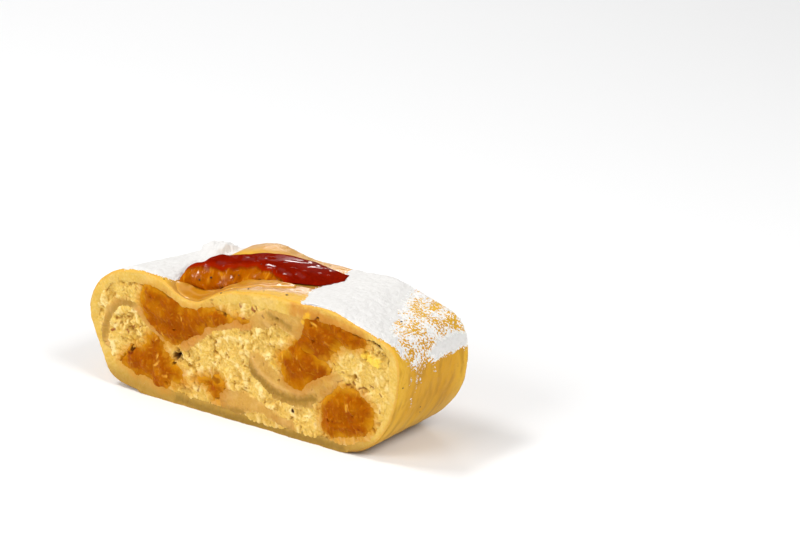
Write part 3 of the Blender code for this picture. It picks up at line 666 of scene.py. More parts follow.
def shared_height(x, z, side):
    """The shared height at points of a cut, between the places of the grid."""
    gx = np.clip((x - LEVEL_X[0]) / LEVEL_STEP, 0, len(LEVEL_X) - 1.01)
    gz = np.clip((z - LEVEL_Z[0]) / LEVEL_STEP, 0, len(LEVEL_Z) - 1.01)
    ix, iz = gx.astype(int), gz.astype(int)
    fx, fz = gx - ix, gz - iz
    result = np.zeros(len(x))
    for value, grid in LEVELS.items():
        low = grid[iz, ix] * (1 - fx) + grid[iz, ix + 1] * fx
        high = grid[iz + 1, ix] * (1 - fx) + grid[iz + 1, ix + 1] * fx
        result = np.where(side == value, low * (1 - fz) + high * fz, result)
    return result


for side, grid in LEVELS.items():
    print("side", side, "levels", round(float(grid.min()), 2), "to", round(float(grid.max()), 2))

# %% [markdown]
# ## Making a piece of the section
# In the real cut no piece ends at a line: crumbs stick to fruit, and dough sags over crumb. A
# border drawn with colour would stay flat, so each piece is let out over its border by almost a
# millimetre, and sinks there. Which of two neighbours shows then depends on the relief of both, and
# the border becomes as ragged as the food is. A piece that ends at the skin isn't let out there.
# All pieces are also bent by the same noise, so that long borders wander.

# %% A piece of the section
LET_OUT = 0.95
LET_OUT_FROM = 1.3
LET_OUT_ROUNDS = 18
BACK_SHIFT = 300.0
SHARED_WITHIN = 4.0
SINK_WITHIN = 0.9
SINK = 0.42
DEEPEST = 12.6
FRONT_MOST = 18.4


def bent(x, z, side):
    """Where places of a cut come to lie when the borders are made uneven."""
    moved = []
    for k, values in enumerate((x, z)):
        for cut_side, seed in ((-1, 0), (1, 500)):
            shift = 0.5 * waves(x, z, 4.6, 31 + k + seed) + 0.3 * waves(x, z, 1.6, 41 + k + seed)
            shift += 0.12 * waves(x, z, 0.85, 47 + k + seed)
            values = np.where(side == cut_side, values + shift, values)
        moved.append(values)
    return moved


def bend(points, weight):
    """Makes the borders of the pieces on both cuts uneven."""
    cap = points.on_cap
    places = points.co[cap][:, (0, 2)]
    moved = np.array(bent(*places.T, points.side[cap])).T
    points.co[np.ix_(cap, (0, 2))] += (moved - places) * weight[cap][:, None]


def near(kind, places, x, z, low, high):
    """1 beside a kind of food and 0 far from it, with a ragged border."""
    away, _ = nearest(places, rims[kind])
    return 1 - rise(away + 0.5 * waves(x, z, 1.7, 51) + 0.3 * waves(x, z, 0.6, 53), low, high)


def dress_cut(points, node, lean=0.0):
    """Gives both cuts of a piece their relief, and returns the traits of its points."""
    kind, cap = kind_of(node), points.on_cap
    x, z, side = points.co[cap, 0], points.co[cap, 2], points.side[cap]
    places = flat_places(points, cap)
    edge, which = nearest(places, flat_places(points, points.rim))
    seed = 1000 + 37 * sorted(frame["nodes"]).index(node)
    height, traits = RELIEF[kind](x + np.where(side < 0, 0.0, BACK_SHIFT), z, seed, lean)
    bent_x, bent_z = bent(x, z, side)
    height, traits = with_features(bent_x, bent_z, side < 0, height, traits)
    if kind != "fruit":
        traits["juice"] = near("fruit", places, x, z, 0.2, 3.4)
        traits["zest"] = near("fruit", places, x, z, 1.0, 6.0) * rise(waves(x, z, 4.0, 57), 0, 0.7)
    if kind == "fruit":
        fringe = 1 - rise(edge + 1.3 * waves(x, z, 3.2, seed + 21), 0.2, 3.0)
        traits["fringe"] = fringe * rise(waves(x, z, 7.0, seed + 22), -0.3, 0.4)
    if kind != "crumb":
        traits["crumbs"] = near("crumb", places, x, z, 0.1, 1.1 if kind == "dough" else 1.9)
    if kind != "dough":
        traits["dough"] = near("dough", places, x, z, 0.15, 0.8)
    depth = np.abs(points.co[cap, 1])
    share = 1 - rise(edge, 0.2, SHARED_WITHIN)
    depth += (shared_height(x, z, side) - depth) * share
    sunk = np.clip(1 - edge / SINK_WITHIN, 0, 1) ** 2 * SINK
    depth += height * (0.55 + 0.45 * rise(edge, 0, 0.7)) - sunk
    points.co[cap, 1] = side * np.clip(depth, DEEPEST, FRONT_MOST)
    grow = LET_OUT * np.clip(1 - edge / LET_OUT_FROM, 0, 1)
    grow *= ~points.on_skin[points.rim][which]
    for axis in (0, 2):
        lateral = np.zeros(len(points.co))
        lateral[cap] = points.out[points.rim][which][:, axis] * grow
        points.co[:, axis] += points.evened(lateral, cap, LET_OUT_ROUNDS)
    whole = {}
    for label, values in traits.items():
        whole[label] = np.zeros(len(points.co))
        whole[label][cap] = values
    return whole


print("pieces are let out by", LET_OUT, "mm")

# %% [markdown]
# ## Finishes
# Every finish is built the same way: a ground colour, tints that follow the traits of the surface,
# and mottling and fine bumps from noise at sizes taken from the real food. A picture of the cut
# would look right from one side only, while traits and noise suit all of them. Food lets light in
# a little way, so all finishes but burnt sugar scatter some light under the surface.

# %% Building a finish
# A tint fades in as its noise rises from the first of these values to the second
MOTTLE_FROM, MOTTLE_TO = 0.42, 0.66
# Dust shows where the noise and this share of the trait together pass a narrow step
DUST_SHARE = 0.62
DUST_FROM, DUST_TO = 0.78, 0.82


def finish(name, ground, tints=(), mottle=(), bumps=(), rough=0.6, wet=None, scatter=0.12,
           depth=(1.2, 0.7, 0.35), coat=0.0, coat_rough=0.1, specular=0.5, dusting=None,
           glints=None):
    """A material of food.

    tints: (trait, hex colour, strength); mottle: (size in mm, hex colour, strength, seed);
    bumps: (size in mm, height in mm); wet: (trait, roughness where it is 1);
    dusting: (trait, hex colour, size of a grain in mm); glints: (trait, coat where it is 1).
    """
    made = bpy.data.materials.new(name)
    made.use_nodes = True
    tree = made.node_tree
    shader = tree.nodes["Principled BSDF"]
    place = add(tree, "ShaderNodeTexCoord").outputs["Object"]
    labels = [pair[0] for pair in (*tints, wet, dusting, glints) if pair]
    trait = {label: add(tree, "ShaderNodeAttribute", {"attribute_name": label}).outputs["Fac"]
             for label in dict.fromkeys(labels)}
    layers = []
    for size, tint, strength, seed in mottle:
        shifted = add(tree, "ShaderNodeMapping", {"Location": (seed, seed * 0.7, 0)},
                      {"Vector": place})
        grain = add(tree, "ShaderNodeTexNoise", {"Scale": 1 / (size * MM), "Detail": 3.0},
                    {"Vector": shifted.outputs[0]})
        mask = add(tree, "ShaderNodeMapRange",
                   {"From Min": MOTTLE_FROM, "From Max": MOTTLE_TO, "To Max": strength},
                   {"Value": grain.outputs["Fac"]})
        layers.append((tint, mask.outputs[0]))
    for label, tint, strength in tints:
        mask = add(tree, "ShaderNodeMapRange", {"To Max": strength}, {"Value": trait[label]})
        layers.append((tint, mask.outputs[0]))
    gloss = None
    if wet:
        gloss = add(tree, "ShaderNodeMapRange", {"To Min": rough, "To Max": wet[1]},
                    {"Value": trait[wet[0]]}).outputs[0]
    if dusting:
        label, tint, size = dusting
        grain = add(tree, "ShaderNodeTexNoise", {"Scale": 1 / (size * MM), "Detail": 2.0},
                    {"Vector": place})
        amount = add(tree, "ShaderNodeMath", {"operation": "MULTIPLY_ADD", 1: DUST_SHARE},
                     {0: trait[label], 2: grain.outputs["Fac"]})
        mask = add(tree, "ShaderNodeMapRange", {"From Min": DUST_FROM, "From Max": DUST_TO},
                   {"Value": amount.outputs[0]})
        layers.append((tint, mask.outputs[0]))
        if gloss:
            gloss = add(tree, "ShaderNodeMath", {"operation": "MAXIMUM"},
                        {0: gloss, 1: mask.outputs[0]}).outputs[0]
    shader.inputs["Base Color"].default_value = linear(ground)
    colour = None
    for tint, mask in layers:
        mixed = add(tree, "ShaderNodeMix",
                    {"data_type": "RGBA", 6: linear(ground), 7: linear(tint)}, {0: mask})
        if colour:
            tree.links.new(colour, mixed.inputs[6])
        colour = mixed.outputs[2]
    if colour:
        tree.links.new(colour, shader.inputs["Base Color"])
    surface = None
    for size, height in bumps:
        grain = add(tree, "ShaderNodeTexNoise", {"Scale": 1 / (size * MM), "Detail": 2.0},
                    {"Vector": place})
        bump = add(tree, "ShaderNodeBump", {"Strength": 1.0, "Distance": height * MM},
                   {"Height": grain.outputs["Fac"]})
        if surface:
            tree.links.new(surface, bump.inputs["Normal"])
        surface = bump.outputs["Normal"]
    if surface:
        tree.links.new(surface, shader.inputs["Normal"])
    shader.inputs["Roughness"].default_value = rough
    if gloss:
        tree.links.new(gloss, shader.inputs["Roughness"])
    shader.inputs["Subsurface Weight"].default_value = scatter
    shader.inputs["Subsurface Radius"].default_value = depth
    shader.inputs["Subsurface Scale"].default_value = MM
    shader.inputs["Specular IOR Level"].default_value = specular
    shader.inputs["Coat Weight"].default_value = coat
    if glints:
        coated = add(tree, "ShaderNodeMapRange", {"To Max": glints[1]}, {"Value": trait[glints[0]]})
        tree.links.new(coated.outputs[0], shader.inputs["Coat Weight"])
    shader.inputs["Coat Roughness"].default_value = coat_rough
    print("finish", name, "nodes", len(tree.nodes))
    return made


# %% [markdown]
# ## The finishes of the cut
# Sweet crumb is cream, with pores that painted shade darkens to honey brown. Dough turned in under
# the sheet stays pale and a little olive where it is moist; painted shade deepens its creases.
# Apricot flesh is deep orange, glossy with juice, with fibres lightened by painted highlight. One
# finish for all three would save work, but each of them meets light in its own way.

# %% Finishes of the cut
# Painted shade of a hole: brown where it begins and nearly black inside, so that it looks
# deeper than it is
HOLE_RIM_SHADE = ("hole", "#9A5212", 1.0)
HOLE_SHADE = ("hole", "#2E1004", 1.0)

# Butter, flour and sugar, baked to crumb: matt cream, so that it looks dry and light. Painted shade
# darkens its pores, holes and olive lines, and painted light lightens the tops of its lumps. Its
# finest crumbs, a fifth of a millimetre, are drawn twice as coarse to show at all.
crumb_finish = finish(
    "sweet crumb", "#EBC564",
    mottle=((3.0, "#E2B64A", 0.6, 0.11), (0.9, "#F4DC8C", 0.5, 0.23), (0.5, "#D2A038", 0.4, 0.37)),
    tints=(("tone", "#DFB24C", 0.45), ("peak", "#F8E2A2", 0.75), ("zest", "#E4B42A", 0.5),
           ("olive", "#C39A3E", 0.4), ("dough", "#DDB058", 0.6), ("pore", "#B37E22", 0.75),
           ("juice", "#CC8616", 0.8), ("stain", "#D08A1C", 0.8), ("bright", "#F2CC4A", 0.9),
           ("deep", "#A8681A", 0.6), ("nut", "#8A3814", 0.95), HOLE_RIM_SHADE, HOLE_SHADE),
    bumps=((0.45, 0.1),), rough=0.8, scatter=0.15, specular=0.2)
# In the dough, painted shade darkens the pores, holes and olive lines
DOUGH_TINTS = (
    ("tone", "#B88436", 0.5), ("pale", "#DCB068", 0.6), ("pore", "#A8782E", 0.6),
    ("zest", "#DDB04A", 0.4), ("olive", "#97701E", 0.9), ("crumbs", "#E8C066", 0.85),
    ("juice", "#C07A1A", 0.65), ("stain", "#D08A1C", 0.6), ("bright", "#F0B92C", 0.9),
    ("nut", "#7A4216", 0.8), HOLE_RIM_SHADE, HOLE_SHADE)

# Yeast dough that steamed inside the roll: smooth and tan with a dull sheen, so that it looks
# moist and dense
tan_dough = finish(
    "moist tan dough", "#CA9A42",
    mottle=((4.0, "#C08E36", 0.5, 0.13), (0.8, "#D8AC5A", 0.35, 0.29)), tints=DOUGH_TINTS,
    bumps=((0.5, 0.05),), rough=0.5, scatter=0.25, specular=0.2)

# The same dough under the upper left apricot, soaked with its juice: warmer, like thin skin
pale_dough = finish(
    "pale inner dough", "#D2943E",
    mottle=((4.0, "#CC8E3A", 0.5, 0.13), (0.8, "#E0B068", 0.35, 0.29)), tints=DOUGH_TINTS,
    bumps=((0.5, 0.05),), rough=0.5, scatter=0.25, specular=0.2)

# Baked apricot flesh, cut while moist: deep orange, and only its fibres glint, so that it looks
# soft and full of juice. Its fibres are also lightened with painted highlight, and its holes are
# darkened with painted shade.
fruit_finish = finish(
    "baked apricot flesh", "#A05000",
    mottle=((3.2, "#AE5E00", 0.6, 0.17), (1.0, "#904400", 0.4, 0.31)),
    tints=(("light", "#C07600", 0.45), ("thread", "#BC7000", 0.4), ("deep", "#8E4000", 0.6),
           ("fringe", "#CA880A", 0.65), ("hair", "#D08C18", 0.38),
           ("dough", "#CC8C1C", 0.6), ("crumbs", "#D29420", 0.75), ("bright", "#F0B024", 0.85),
           ("nut", "#6E2604", 0.8), ("hole", "#2A0E04", 1.0)),
    bumps=((0.6, 0.08),), rough=0.3, scatter=0.15, depth=(1.6, 0.4, 0.02), coat_rough=0.08,
    specular=0.02, glints=("bright", 0.7))

# %% [markdown]
# ## The pieces inside the roll
# Every piece of fruit, crumb and turned-in dough gets its relief and its finish here. They stay
# pieces of their own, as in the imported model, so that each can be told apart and reused.

# %% Fruit, dough and crumb
def place_piece(points, node, material):
    """Shows a finished piece in place of its solid."""
    thing = placed(points.mesh.name, points.mesh)
    points.mesh.materials.append(material)
    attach(thing, "root")
    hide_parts(node)
    return thing


FINISH_OF = {"fruit": fruit_finish, "crumb": crumb_finish, "dough": tan_dough}
for node, points in pieces.items():
    if node == "outer_dough":
        continue
    traits = dress_cut(points, node, FRUIT.get(node, 0.0))
    bend(points, np.ones(len(points.co)))
    points.co[:, 2] = np.clip(points.co[:, 2], BASE_TOP, None)
    points.store(traits)
    chosen = pale_dough if node == "dough_layer" else FINISH_OF[kind_of(node)]
    place_piece(points, node, chosen)
print("pieces inside the roll", len(pieces) - 1)

# %% [markdown]
# ## The outer sheet of dough
# The sheet shows its cut edge on both faces and its skin all round. The solid's skin is made of
# flat strips. Smooth shading alone would leave them in the outline, so the divided skin is evened
# out, and the edge between skin and cut is rounded as a knife leaves it in soft dough.

# %% Shape of the outer sheet
SKIN_ROUNDS = 30
ON_BASE = 0.02
CUT_AT = 17.4
EDGE_ROUNDING = 1.2
EDGE_DRAWN_IN = 0.36


def around(x, z):
    """How far along the section a place on the skin is, measured from the middle of the top."""
    steep = np.maximum(rise(np.abs(x), 44.0, 54.0), rise(34.0 - z, 0.0, 6.0))
    down = steep * np.clip(42.0 - z, 0, None)
    return x + np.sign(x) * down


sheet = pieces["outer_dough"]
cap = sheet.on_cap
outer_rim = cap & sheet.on_skin
held = sheet.co[:, 2] < ON_BASE
before = sheet.co.copy()
all_links = sheet.links
sheet.links = all_links[sheet.on_skin[all_links].all(axis=1)]
sheet.relax(sheet.on_skin & ~held, (0, 2), SKIN_ROUNDS)
sheet.links = all_links
print("outer sheet", len(sheet.co), "points; smoothing moved them up to",
      round(float(np.abs(sheet.co - before).max()), 2), "mm")

# %% [markdown]
# The cut edge of the sheet follows its smoothed skin, gets the relief of cut dough, and is drawn
# in towards both sides of the corner. A bevel would do the same to a plain sheet, but it would
# fold where the edge is uneven.

# %% Relief of the outer sheet
places = flat_places(sheet, cap)
from_skin, which = nearest(places, flat_places(sheet, outer_rim))
shift = (sheet.co - before)[outer_rim][which]
follow = (1 - rise(from_skin, 0.0, 2.5))[:, None] * ~outer_rim[cap][:, None]
sheet.co[cap] += shift * follow
traits = dress_cut(sheet, "outer_dough")
side = sheet.side[cap]
corner = np.clip(1 - from_skin / EDGE_ROUNDING, 0, 1) ** 2 * EDGE_DRAWN_IN
sheet.co[cap, 1] -= side * corner
sheet.co[cap] -= sheet.out[outer_rim][which] * corner[:, None]
weight = np.zeros(len(sheet.co))
weight[cap] = rise(from_skin, 0.6, 3.0) * rise(sheet.co[cap, 2], 0.4, 2.5)
bend(sheet, weight)
print("the cut edge of the sheet reaches", round(float(np.abs(sheet.co[cap, 1]).max()), 2), "mm")

# %% [markdown]
# The skin is smooth where syrup covers it, and has fine wrinkles that run down the flanks, where
# the dough was stretched round the filling. Stretched noise gives such wrinkles: it is long along
# the section and short across it, so the skin is measured along the section first.

# %% Relief of the skin
GLAZE_LINE = ((-22.0, -10.0), (-12.0, -7.0), (-2.0, -5.0), (10.0, -4.0), (18.0, 0.0), (19.0, 7.0))
SMOOTH_FROM = 17.5

facing = sheet.facing()
x, y, z = sheet.co.T
u = around(x, z)
on_top = rise(z, 33.0, 36.0)
glaze = 1 - rise(to_line(x, y, GLAZE_LINE) + 1.6 * waves(x, y, 6.0, 81), 7.0, 12.0)
glaze *= on_top
lip = rise(y, 6.0, 10.0) * rise(x, -29.0, -24.0) * (1 - rise(x, 18.0, 24.0)) * on_top
dry = 1 - np.clip(glaze + lip, 0, 1) * 0.85
wrinkle = waves(u / 5.0, (y + 1.6 * waves(u, y, 6.0, 85)) / 0.9, 1.0, 87)
fine = waves(u / 2.0, (y + 0.3 * waves(u, y, 2.5, 86)) / 0.45, 1.0, 89)
streaks = waves(x / 7.0, (y - 0.15 * x) / 1.1, 1.0, 90)
relief = 0.16 * waves(u, y, 3.4, 91) + dry * (0.09 * wrinkle + 0.05 * fine)
relief += dry * 0.05 * waves(u, y, 0.8, 93) + (1 - dry) * 0.1 * streaks
relief *= rise(SMOOTH_FROM - np.abs(y), 0.0, 2.0) * sheet.on_skin * ~held
into = np.clip(1 - (CUT_AT - np.abs(y)) / EDGE_ROUNDING, 0, 1) ** 2 * EDGE_DRAWN_IN
into *= sheet.on_skin & ~cap & (z > 0.6)
sheet.co += facing * (relief - into)[:, None]
sheet.co[:, 2] = np.clip(sheet.co[:, 2], 0, None)
low, high = float(relief.min()), float(relief.max())
print("relief of the skin", round(low, 2), "to", round(high, 2), "mm")

# %% [markdown]
# ## Where the sugar lies
# The sugar was sifted over the shoulders before the roll was cut. It lies thick on top, breaks up
# into grains over the right shoulder, and ends in a small drift and a few trickles on the flank.
# Noise alone would put it anywhere, so its outlines are given, on the unrolled skin, as the
# distance along the section and y, and noise only frays them.

# %% Outlines of the sugar
RIGHT_DUSTED = ((24.5, -19.0), (23.5, -12.0), (21.0, -8.0), (19.6, -1.0), (21.0, 4.0),
                (20.5, 9.0), (18.0, 19.0), (44.0, 19.0), (62.0, 19.0), (77.0, 19.0),
                (75.0, 10.0), (75.4, -2.0), (76.2, -7.4), (74.4, -11.5), (71.5, -13.8),
                (66.0, -16.2), (61.5, -15.9), (57.0, -16.4), (52.0, -19.0))
RIGHT_THICK = ((24.5, -19.0), (23.5, -12.0), (21.0, -8.0), (19.6, -1.0), (21.0, 4.0),
               (20.5, 9.0), (18.0, 19.0), (41.0, 19.0), (44.7, 6.0), (49.7, -3.2),
               (54.0, -10.0), (57.0, -12.0), (61.0, -13.6), (62.5, -15.0), (61.5, -15.9),
               (57.0, -16.4), (52.0, -19.0))
DRIFT = ((70.0, 1.0), (69.6, 4.5), (70.2, 8.0), (69.4, 12.0), (70.4, 15.5), (70.6, 19.0),
         (74.2, 19.0), (73.8, 14.0), (74.4, 10.0), (73.2, 6.0), (73.0, 2.0), (71.6, -1.5))
LEFT_THICK = ((-47.0, -17.2), (-41.0, -16.7), (-36.6, -16.6), (-32.7, -15.7), (-30.1, -14.0),
              (-28.9, -12.0), (-30.1, -7.4), (-32.2, -1.6), (-31.9, 1.3), (-29.2, 4.6),
              (-27.6, 8.2), (-25.0, 13.1), (-22.5, 19.0), (-60.0, 19.0), (-62.0, 10.0),
              (-59.0, 0.0), (-55.0, -8.0), (-51.0, -14.0))
TRICKLES = (((74.0, -8.0), (80.5, -8.2)), ((75.5, -6.0), (79.0, -6.6)),
            ((82.0, -9.4), (84.5, -9.2)), ((75.0, 0.0), (77.5, 0.4)),
            ((76.0, -11.0), (78.0, -11.4)))
SUGAR_FROM_CUT = 1.9
SUGAR_END = 17.9


def inside(x, y, outline):
    """The distance to an outline, above zero inside it."""
    within = np.zeros(x.shape, bool)
    ends = list(outline) + [outline[0]]
    for (ax, ay), (bx, by) in zip(ends, ends[1:]):
        if ay != by:
            within ^= ((ay > y) != (by > y)) & (x < (bx - ax) * (y - ay) / (by - ay) + ax)
    away = to_line(x, y, ends)
    return np.where(within, away, -away)


def thick_sugar(u, y):
    """The distance to where the sugar lies thick, above zero there."""
    outlines = (RIGHT_THICK, LEFT_THICK, DRIFT)
    to_cut = SUGAR_END - np.abs(y) - 0.9 * waves(u, y, 4.0, 160)
    bare = SUGAR_FROM_CUT * (1 - rise(to_cut, -0.4, 2.2))
    return np.max([inside(u, y, outline) for outline in outlines], axis=0) - bare


def dust(u, y):
    """How much sugar dusts the skin: 1 covers it, and 0 leaves it bare."""
    thick = thick_sugar(u, y)
    patchy = 0.46 + 0.28 * waves(u, y, 5.5, 131) + 0.36 * np.exp(np.minimum(thick, 0) / 2.2)
    patchy -= 0.2 * rise(u, 68.0, 78.0)
    amount = rise(inside(u, y, RIGHT_DUSTED), -1.2, 1.4) * patchy
    for line in TRICKLES:
        away = to_line(u, y, line) + 0.5 * waves(u, y, 1.5, 129)
        amount = np.maximum(amount, 0.36 * (1 - rise(away, 0.2, 1.2)))
    reach = 0.8 + 1.6 * rise(-u, 46.0, 54.0)
    return np.maximum(amount, 0.8 * np.exp(np.minimum(thick, 0) / reach))


print("thick sugar on", int((thick_sugar(u, y) > 0)[sheet.on_skin].sum()), "points of the skin")

# %% [markdown]
# ## Finish of the outer sheet
# Yeast dough that was brushed with syrup: butter yellow where it is cut, golden on the flanks, tan
# and glossy where the syrup ran, and olive and moist along the base, where painted shade also
# darkens its cut. It could have one material for the cut and one for the skin, but traits let them
# run into each other.

# %% Traits and finish of the outer sheet
for label in ("rind", "glaze"):
    traits[label] = np.zeros(len(sheet.co))
traits["rind"][cap] = 1 - rise(from_skin + 0.2 * waves(x, z, 1.2, 97)[cap], 0.25, 0.9)
traits["moist"] = 1 - rise(z + 2.4 * waves(x, z, 12.0, 99), 1.0, 12.0)
cut = cap.astype(float)
skin_tone = waves(u, y, 9.0, 101) + 0.5 * waves(u, y, 3.0, 103)
traits["tone"] = np.where(cap, traits["tone"], skin_tone)
traits["skin"] = 1 - cut
traits["glaze"] = glaze * (1 - cut)
traits["lip"] = lip * (1 - cut)
traits["gloss"] = np.clip(np.maximum(glaze * 0.9, lip * 0.55), 0, 1) * (1 - cut)
traits["streak"] = rise(wrinkle + 0.5 * fine, 0.0, 0.9) * (1 - cut) * dry
traits["syrupy"] = rise(streaks, 0.0, 0.8) * (1 - dry) * (1 - cut)
traits["flank"] = rise(np.abs(x), 54.0, 60.0) * rise(17.0 - np.abs(y), 1.0, 8.0) * (1 - cut)
shade = waves(u / 9.0, (y + 0.12 * u + 2.0 * waves(u, y, 8.0, 104)) / 2.4, 1.0, 106)
shade = rise(shade + 0.3 * wrinkle, -0.1, 0.8)
traits["shade"] = shade * rise(34.0 - z, 0.0, 6.0) * (1 - cut)
traits["dust"] = dust(u, y) * (1 - cut)
sheet.store(traits)

# Yeast dough, rolled thin, brushed and baked: a soft yellow cut, a golden skin with a low sheen and
# a wet gloss where the syrup ran. Dusted sugar, finer than a tenth of a millimetre, is drawn as
# clumps of 0.7 mm.
# Painted shade darkens the pores, holes and olive lines of its cut
baked_dough = finish(
    "baked yeast dough", "#E2BA52",
    mottle=((5.0, "#D7A83E", 0.55, 0.19), (0.9, "#ECCE7C", 0.45, 0.41),
            (0.6, "#CFA03A", 0.3, 0.47)),
    tints=(("tone", "#D3A438", 0.45), ("pale", "#EFD084", 0.5), ("skin", "#DDA820", 0.85),
           ("flank", "#CA9012", 0.75), ("shade", "#AE7A12", 0.6), ("streak", "#AC7412", 0.38),
           ("pore", "#B58426", 0.5), ("rind", "#DFA43A", 0.6), ("crumbs", "#E6BE60", 0.7),
           ("moist", "#A47A26", 0.8), ("glaze", "#B67E36", 0.85),
           ("lip", "#CE9A54", 0.9), ("syrupy", "#BE823C", 0.5), ("juice", "#D08A28", 0.6),
           ("stain", "#C67E1E", 0.85), ("olive", "#86661C", 0.8), ("bright", "#F1BA20", 0.9),
           ("deep", "#B4660E", 0.7), ("nut", "#8A5220", 0.8), HOLE_RIM_SHADE, HOLE_SHADE),
    bumps=((0.7, 0.08),), rough=0.55, wet=("gloss", 0.2), scatter=0.2, specular=0.22,
    dusting=("dust", "#ECE9E5", 0.7))
place_piece(sheet, "outer_dough", baked_dough)

# %% [markdown]
# ## The apricot on top
# A half of fruit that was baked in its slit and glazed. Its skin is dark red and smooth, rolled
# along the crest. In front of it the flesh shows, orange, sunken and folded from the crest down.
# It could be sculpted freely, but then it would leave the solid. So its form is kept, and folds,
# ribs and drops of glaze are raised on it along outlines seen in the fruit. Only its left end is
# drawn out, by a millimetre or two.

# %% Shape of the top apricot
FRUIT_CELL = 0.34
SKIN_BORDER_X = (-27.0, -20.4, -13.8, -8.2, -2.9, 2.2, 6.6, 10.5, 16.0, 24.0)
SKIN_BORDER_Y = (-9.5, -7.2, -5.2, -3.4, -2.8, -3.0, -4.4, -6.0, -8.0, -9.0)
GLAZE_DROPS = (
    ((-11.0, -0.7), (-8.0, 0.2)), ((-6.2, 1.0), (-4.2, 1.5)), ((-1.0, -1.2), (1.6, -1.7)),
    ((4.2, -1.5), (5.6, -1.7)), ((7.0, -2.0), (8.6, -2.3)), ((10.2, -0.6), (12.8, -1.2)),
    ((9.0, 7.6), (12.0, 7.9)), ((15.2, 7.8), (17.6, 8.0)), ((-22.8, -9.9), (-21.6, -9.0)),
    ((-20.6, -7.6), (-20.0, -7.0)), ((-15.0, -8.1), (-13.6, -7.4)), ((-12.9, -7.2), (-12.1, -6.6)),
    ((-18.0, -4.4), (-16.2, -4.0)), ((-3.4, -5.2), (-2.6, -4.6)), ((3.0, 3.6), (6.0, 4.4)),
)
TOP_ROUNDS = 14
TALLEST = 48.35
EASE = 0.6
SHRUNK = 0.12

bm = merged("apricot_top")
for face in bm.faces:
    face.material_index = SKIN
divide(bm, SKIN, FRUIT_CELL)
top = Points(bm, "apricot_top_baked")
top.relax(top.on_skin, (0, 1, 2), TOP_ROUNDS)
facing = top.facing()
x, y, z = top.co.T
behind = y - np.interp(x, SKIN_BORDER_X, SKIN_BORDER_Y) + 0.6 * waves(x, z, 3.0, 111)
flesh = 1 - rise(behind, -0.5, 0.3)
rib = waves((x + 0.35 * z + 1.6 * waves(x, z, 3.5, 113)) / 1.7, z / 4.5, 1.0, 115)
rib_fine = waves((x + 0.3 * z) / 0.6, z / 2.2, 1.0, 117)
fold = waves(x / 9.0, (y - 0.25 * x) / 2.6, 1.0, 119)
roll = np.exp(-((behind - 1.3) / 1.1) ** 2)
relief = flesh * (0.3 * rib + 0.14 * rib_fine - 0.4) + (1 - flesh) * (0.16 * fold + 0.1)
relief += flesh * 0.5 * waves(x, z, 2.2, 125)
relief += 0.35 * roll * (1 - flesh) + 0.2 * waves(x, y + z, 3.4, 121)
relief += 0.9 * rise(-14.0 - x, 0.0, 8.0)
drop = np.max([1 - rise(to_line(x, y, line) + 0.3 * waves(x, y, 1.2, 127), 0.1, 1.1)
               for line in GLAZE_DROPS], axis=0)
relief += 0.1 * drop
veil = np.exp(-((x - 10.0) / 6.0) ** 2 - ((y - 5.0) / 2.5) ** 2)
top.co += facing * (relief - SHRUNK)[:, None]
left_end = rise(-16.5 - x, 0.0, 5.0)
high = rise(z, 40.5, 43.5)
top.co[:, 0] -= 1.5 * left_end * (1 - high)
top.co[:, 2] += 0.8 * left_end * high
over = np.clip(top.co[:, 2] - (TALLEST - EASE), 0, None)
top.co[:, 2] -= over - EASE * (1 - np.exp(-over / EASE))
glossy = drop + 0.02 + 0.6 * veil + 0.3 * flesh * rise(waves(x, z, 1.5, 128), 0.2, 0.6)
top.store({
    "flesh": flesh,
    # Painted highlight on the crests of the ribs of the flesh, and painted shade between them
    "ridge": flesh * rise(rib + 0.4 * rib_fine + 0.6 * waves(x, z, 2.2, 125), 0.1, 1.1),
    "gap": flesh * rise(-rib - 0.3 * rib_fine, 0.2, 0.9),
    "glow": np.exp(-((behind - 0.4) / 0.9) ** 2) * (1 - flesh),
    "cloudy": rise(waves(x, y, 6.0, 123), 0.0, 0.8) * (1 - flesh),
    "drop": np.clip(glossy, 0, 1),
})

# Apricot skin, baked dark and glazed: a red so dark that it looks deep, because nothing but the
# drops of glaze on it shines. On the flesh, painted highlight lies on the ribs and painted shade
# between them.
glazed_fruit = finish(
    "glazed apricot skin", "#781000",
    mottle=((4.0, "#861200", 0.7, 0.21), (1.0, "#640800", 0.5, 0.43)),
    tints=(("cloudy", "#861400", 0.5), ("glow", "#A02200", 0.6), ("flesh", "#A85600", 0.97),
           ("gap", "#7C3400", 0.7), ("ridge", "#DC9418", 0.65)),
    bumps=((0.9, 0.05),), rough=0.35, scatter=0.12, depth=(2.0, 0.3, 0.02),
    coat_rough=0.04, specular=0.0, glints=("drop", 1.0))
place_piece(top, "apricot_top", glazed_fruit)
print("top apricot", len(top.co), "points")

# %% [markdown]
# ## Films that lie on the skin
# Sugar and syrup both lie on the dough as a layer of uneven thickness. The solids of the sugar have
# straight edges, so a film is made anew: a copy of the part of the skin under it, divided and
# lifted by its thickness. Where it has none, it sinks into the dough, so that its edge is as ragged
# as the noise that shapes it. Faces without any are dropped, and an underside inside the dough
# closes it.

# %% Films
FILM_FLOOR = 0.45
FILM_ROUNDS = 30
EVENED_WITHIN = 17.2
SUNK = 0.12
sheet_traits = set(traits)
skin_bm = bmesh.new()
skin_bm.from_mesh(sheet.mesh)
mark = np.zeros(len(sheet.mesh.polygons), bool)
centres = np.empty(len(mark) * 3)
sheet.mesh.polygons.foreach_get("center", centres)
centres = centres.reshape(-1, 3) / MM
for face in skin_bm.faces:
    corners = [vert.index for vert in face.verts]
    mark[face.index] = sheet.on_skin[corners].all() and not cap[corners].all()


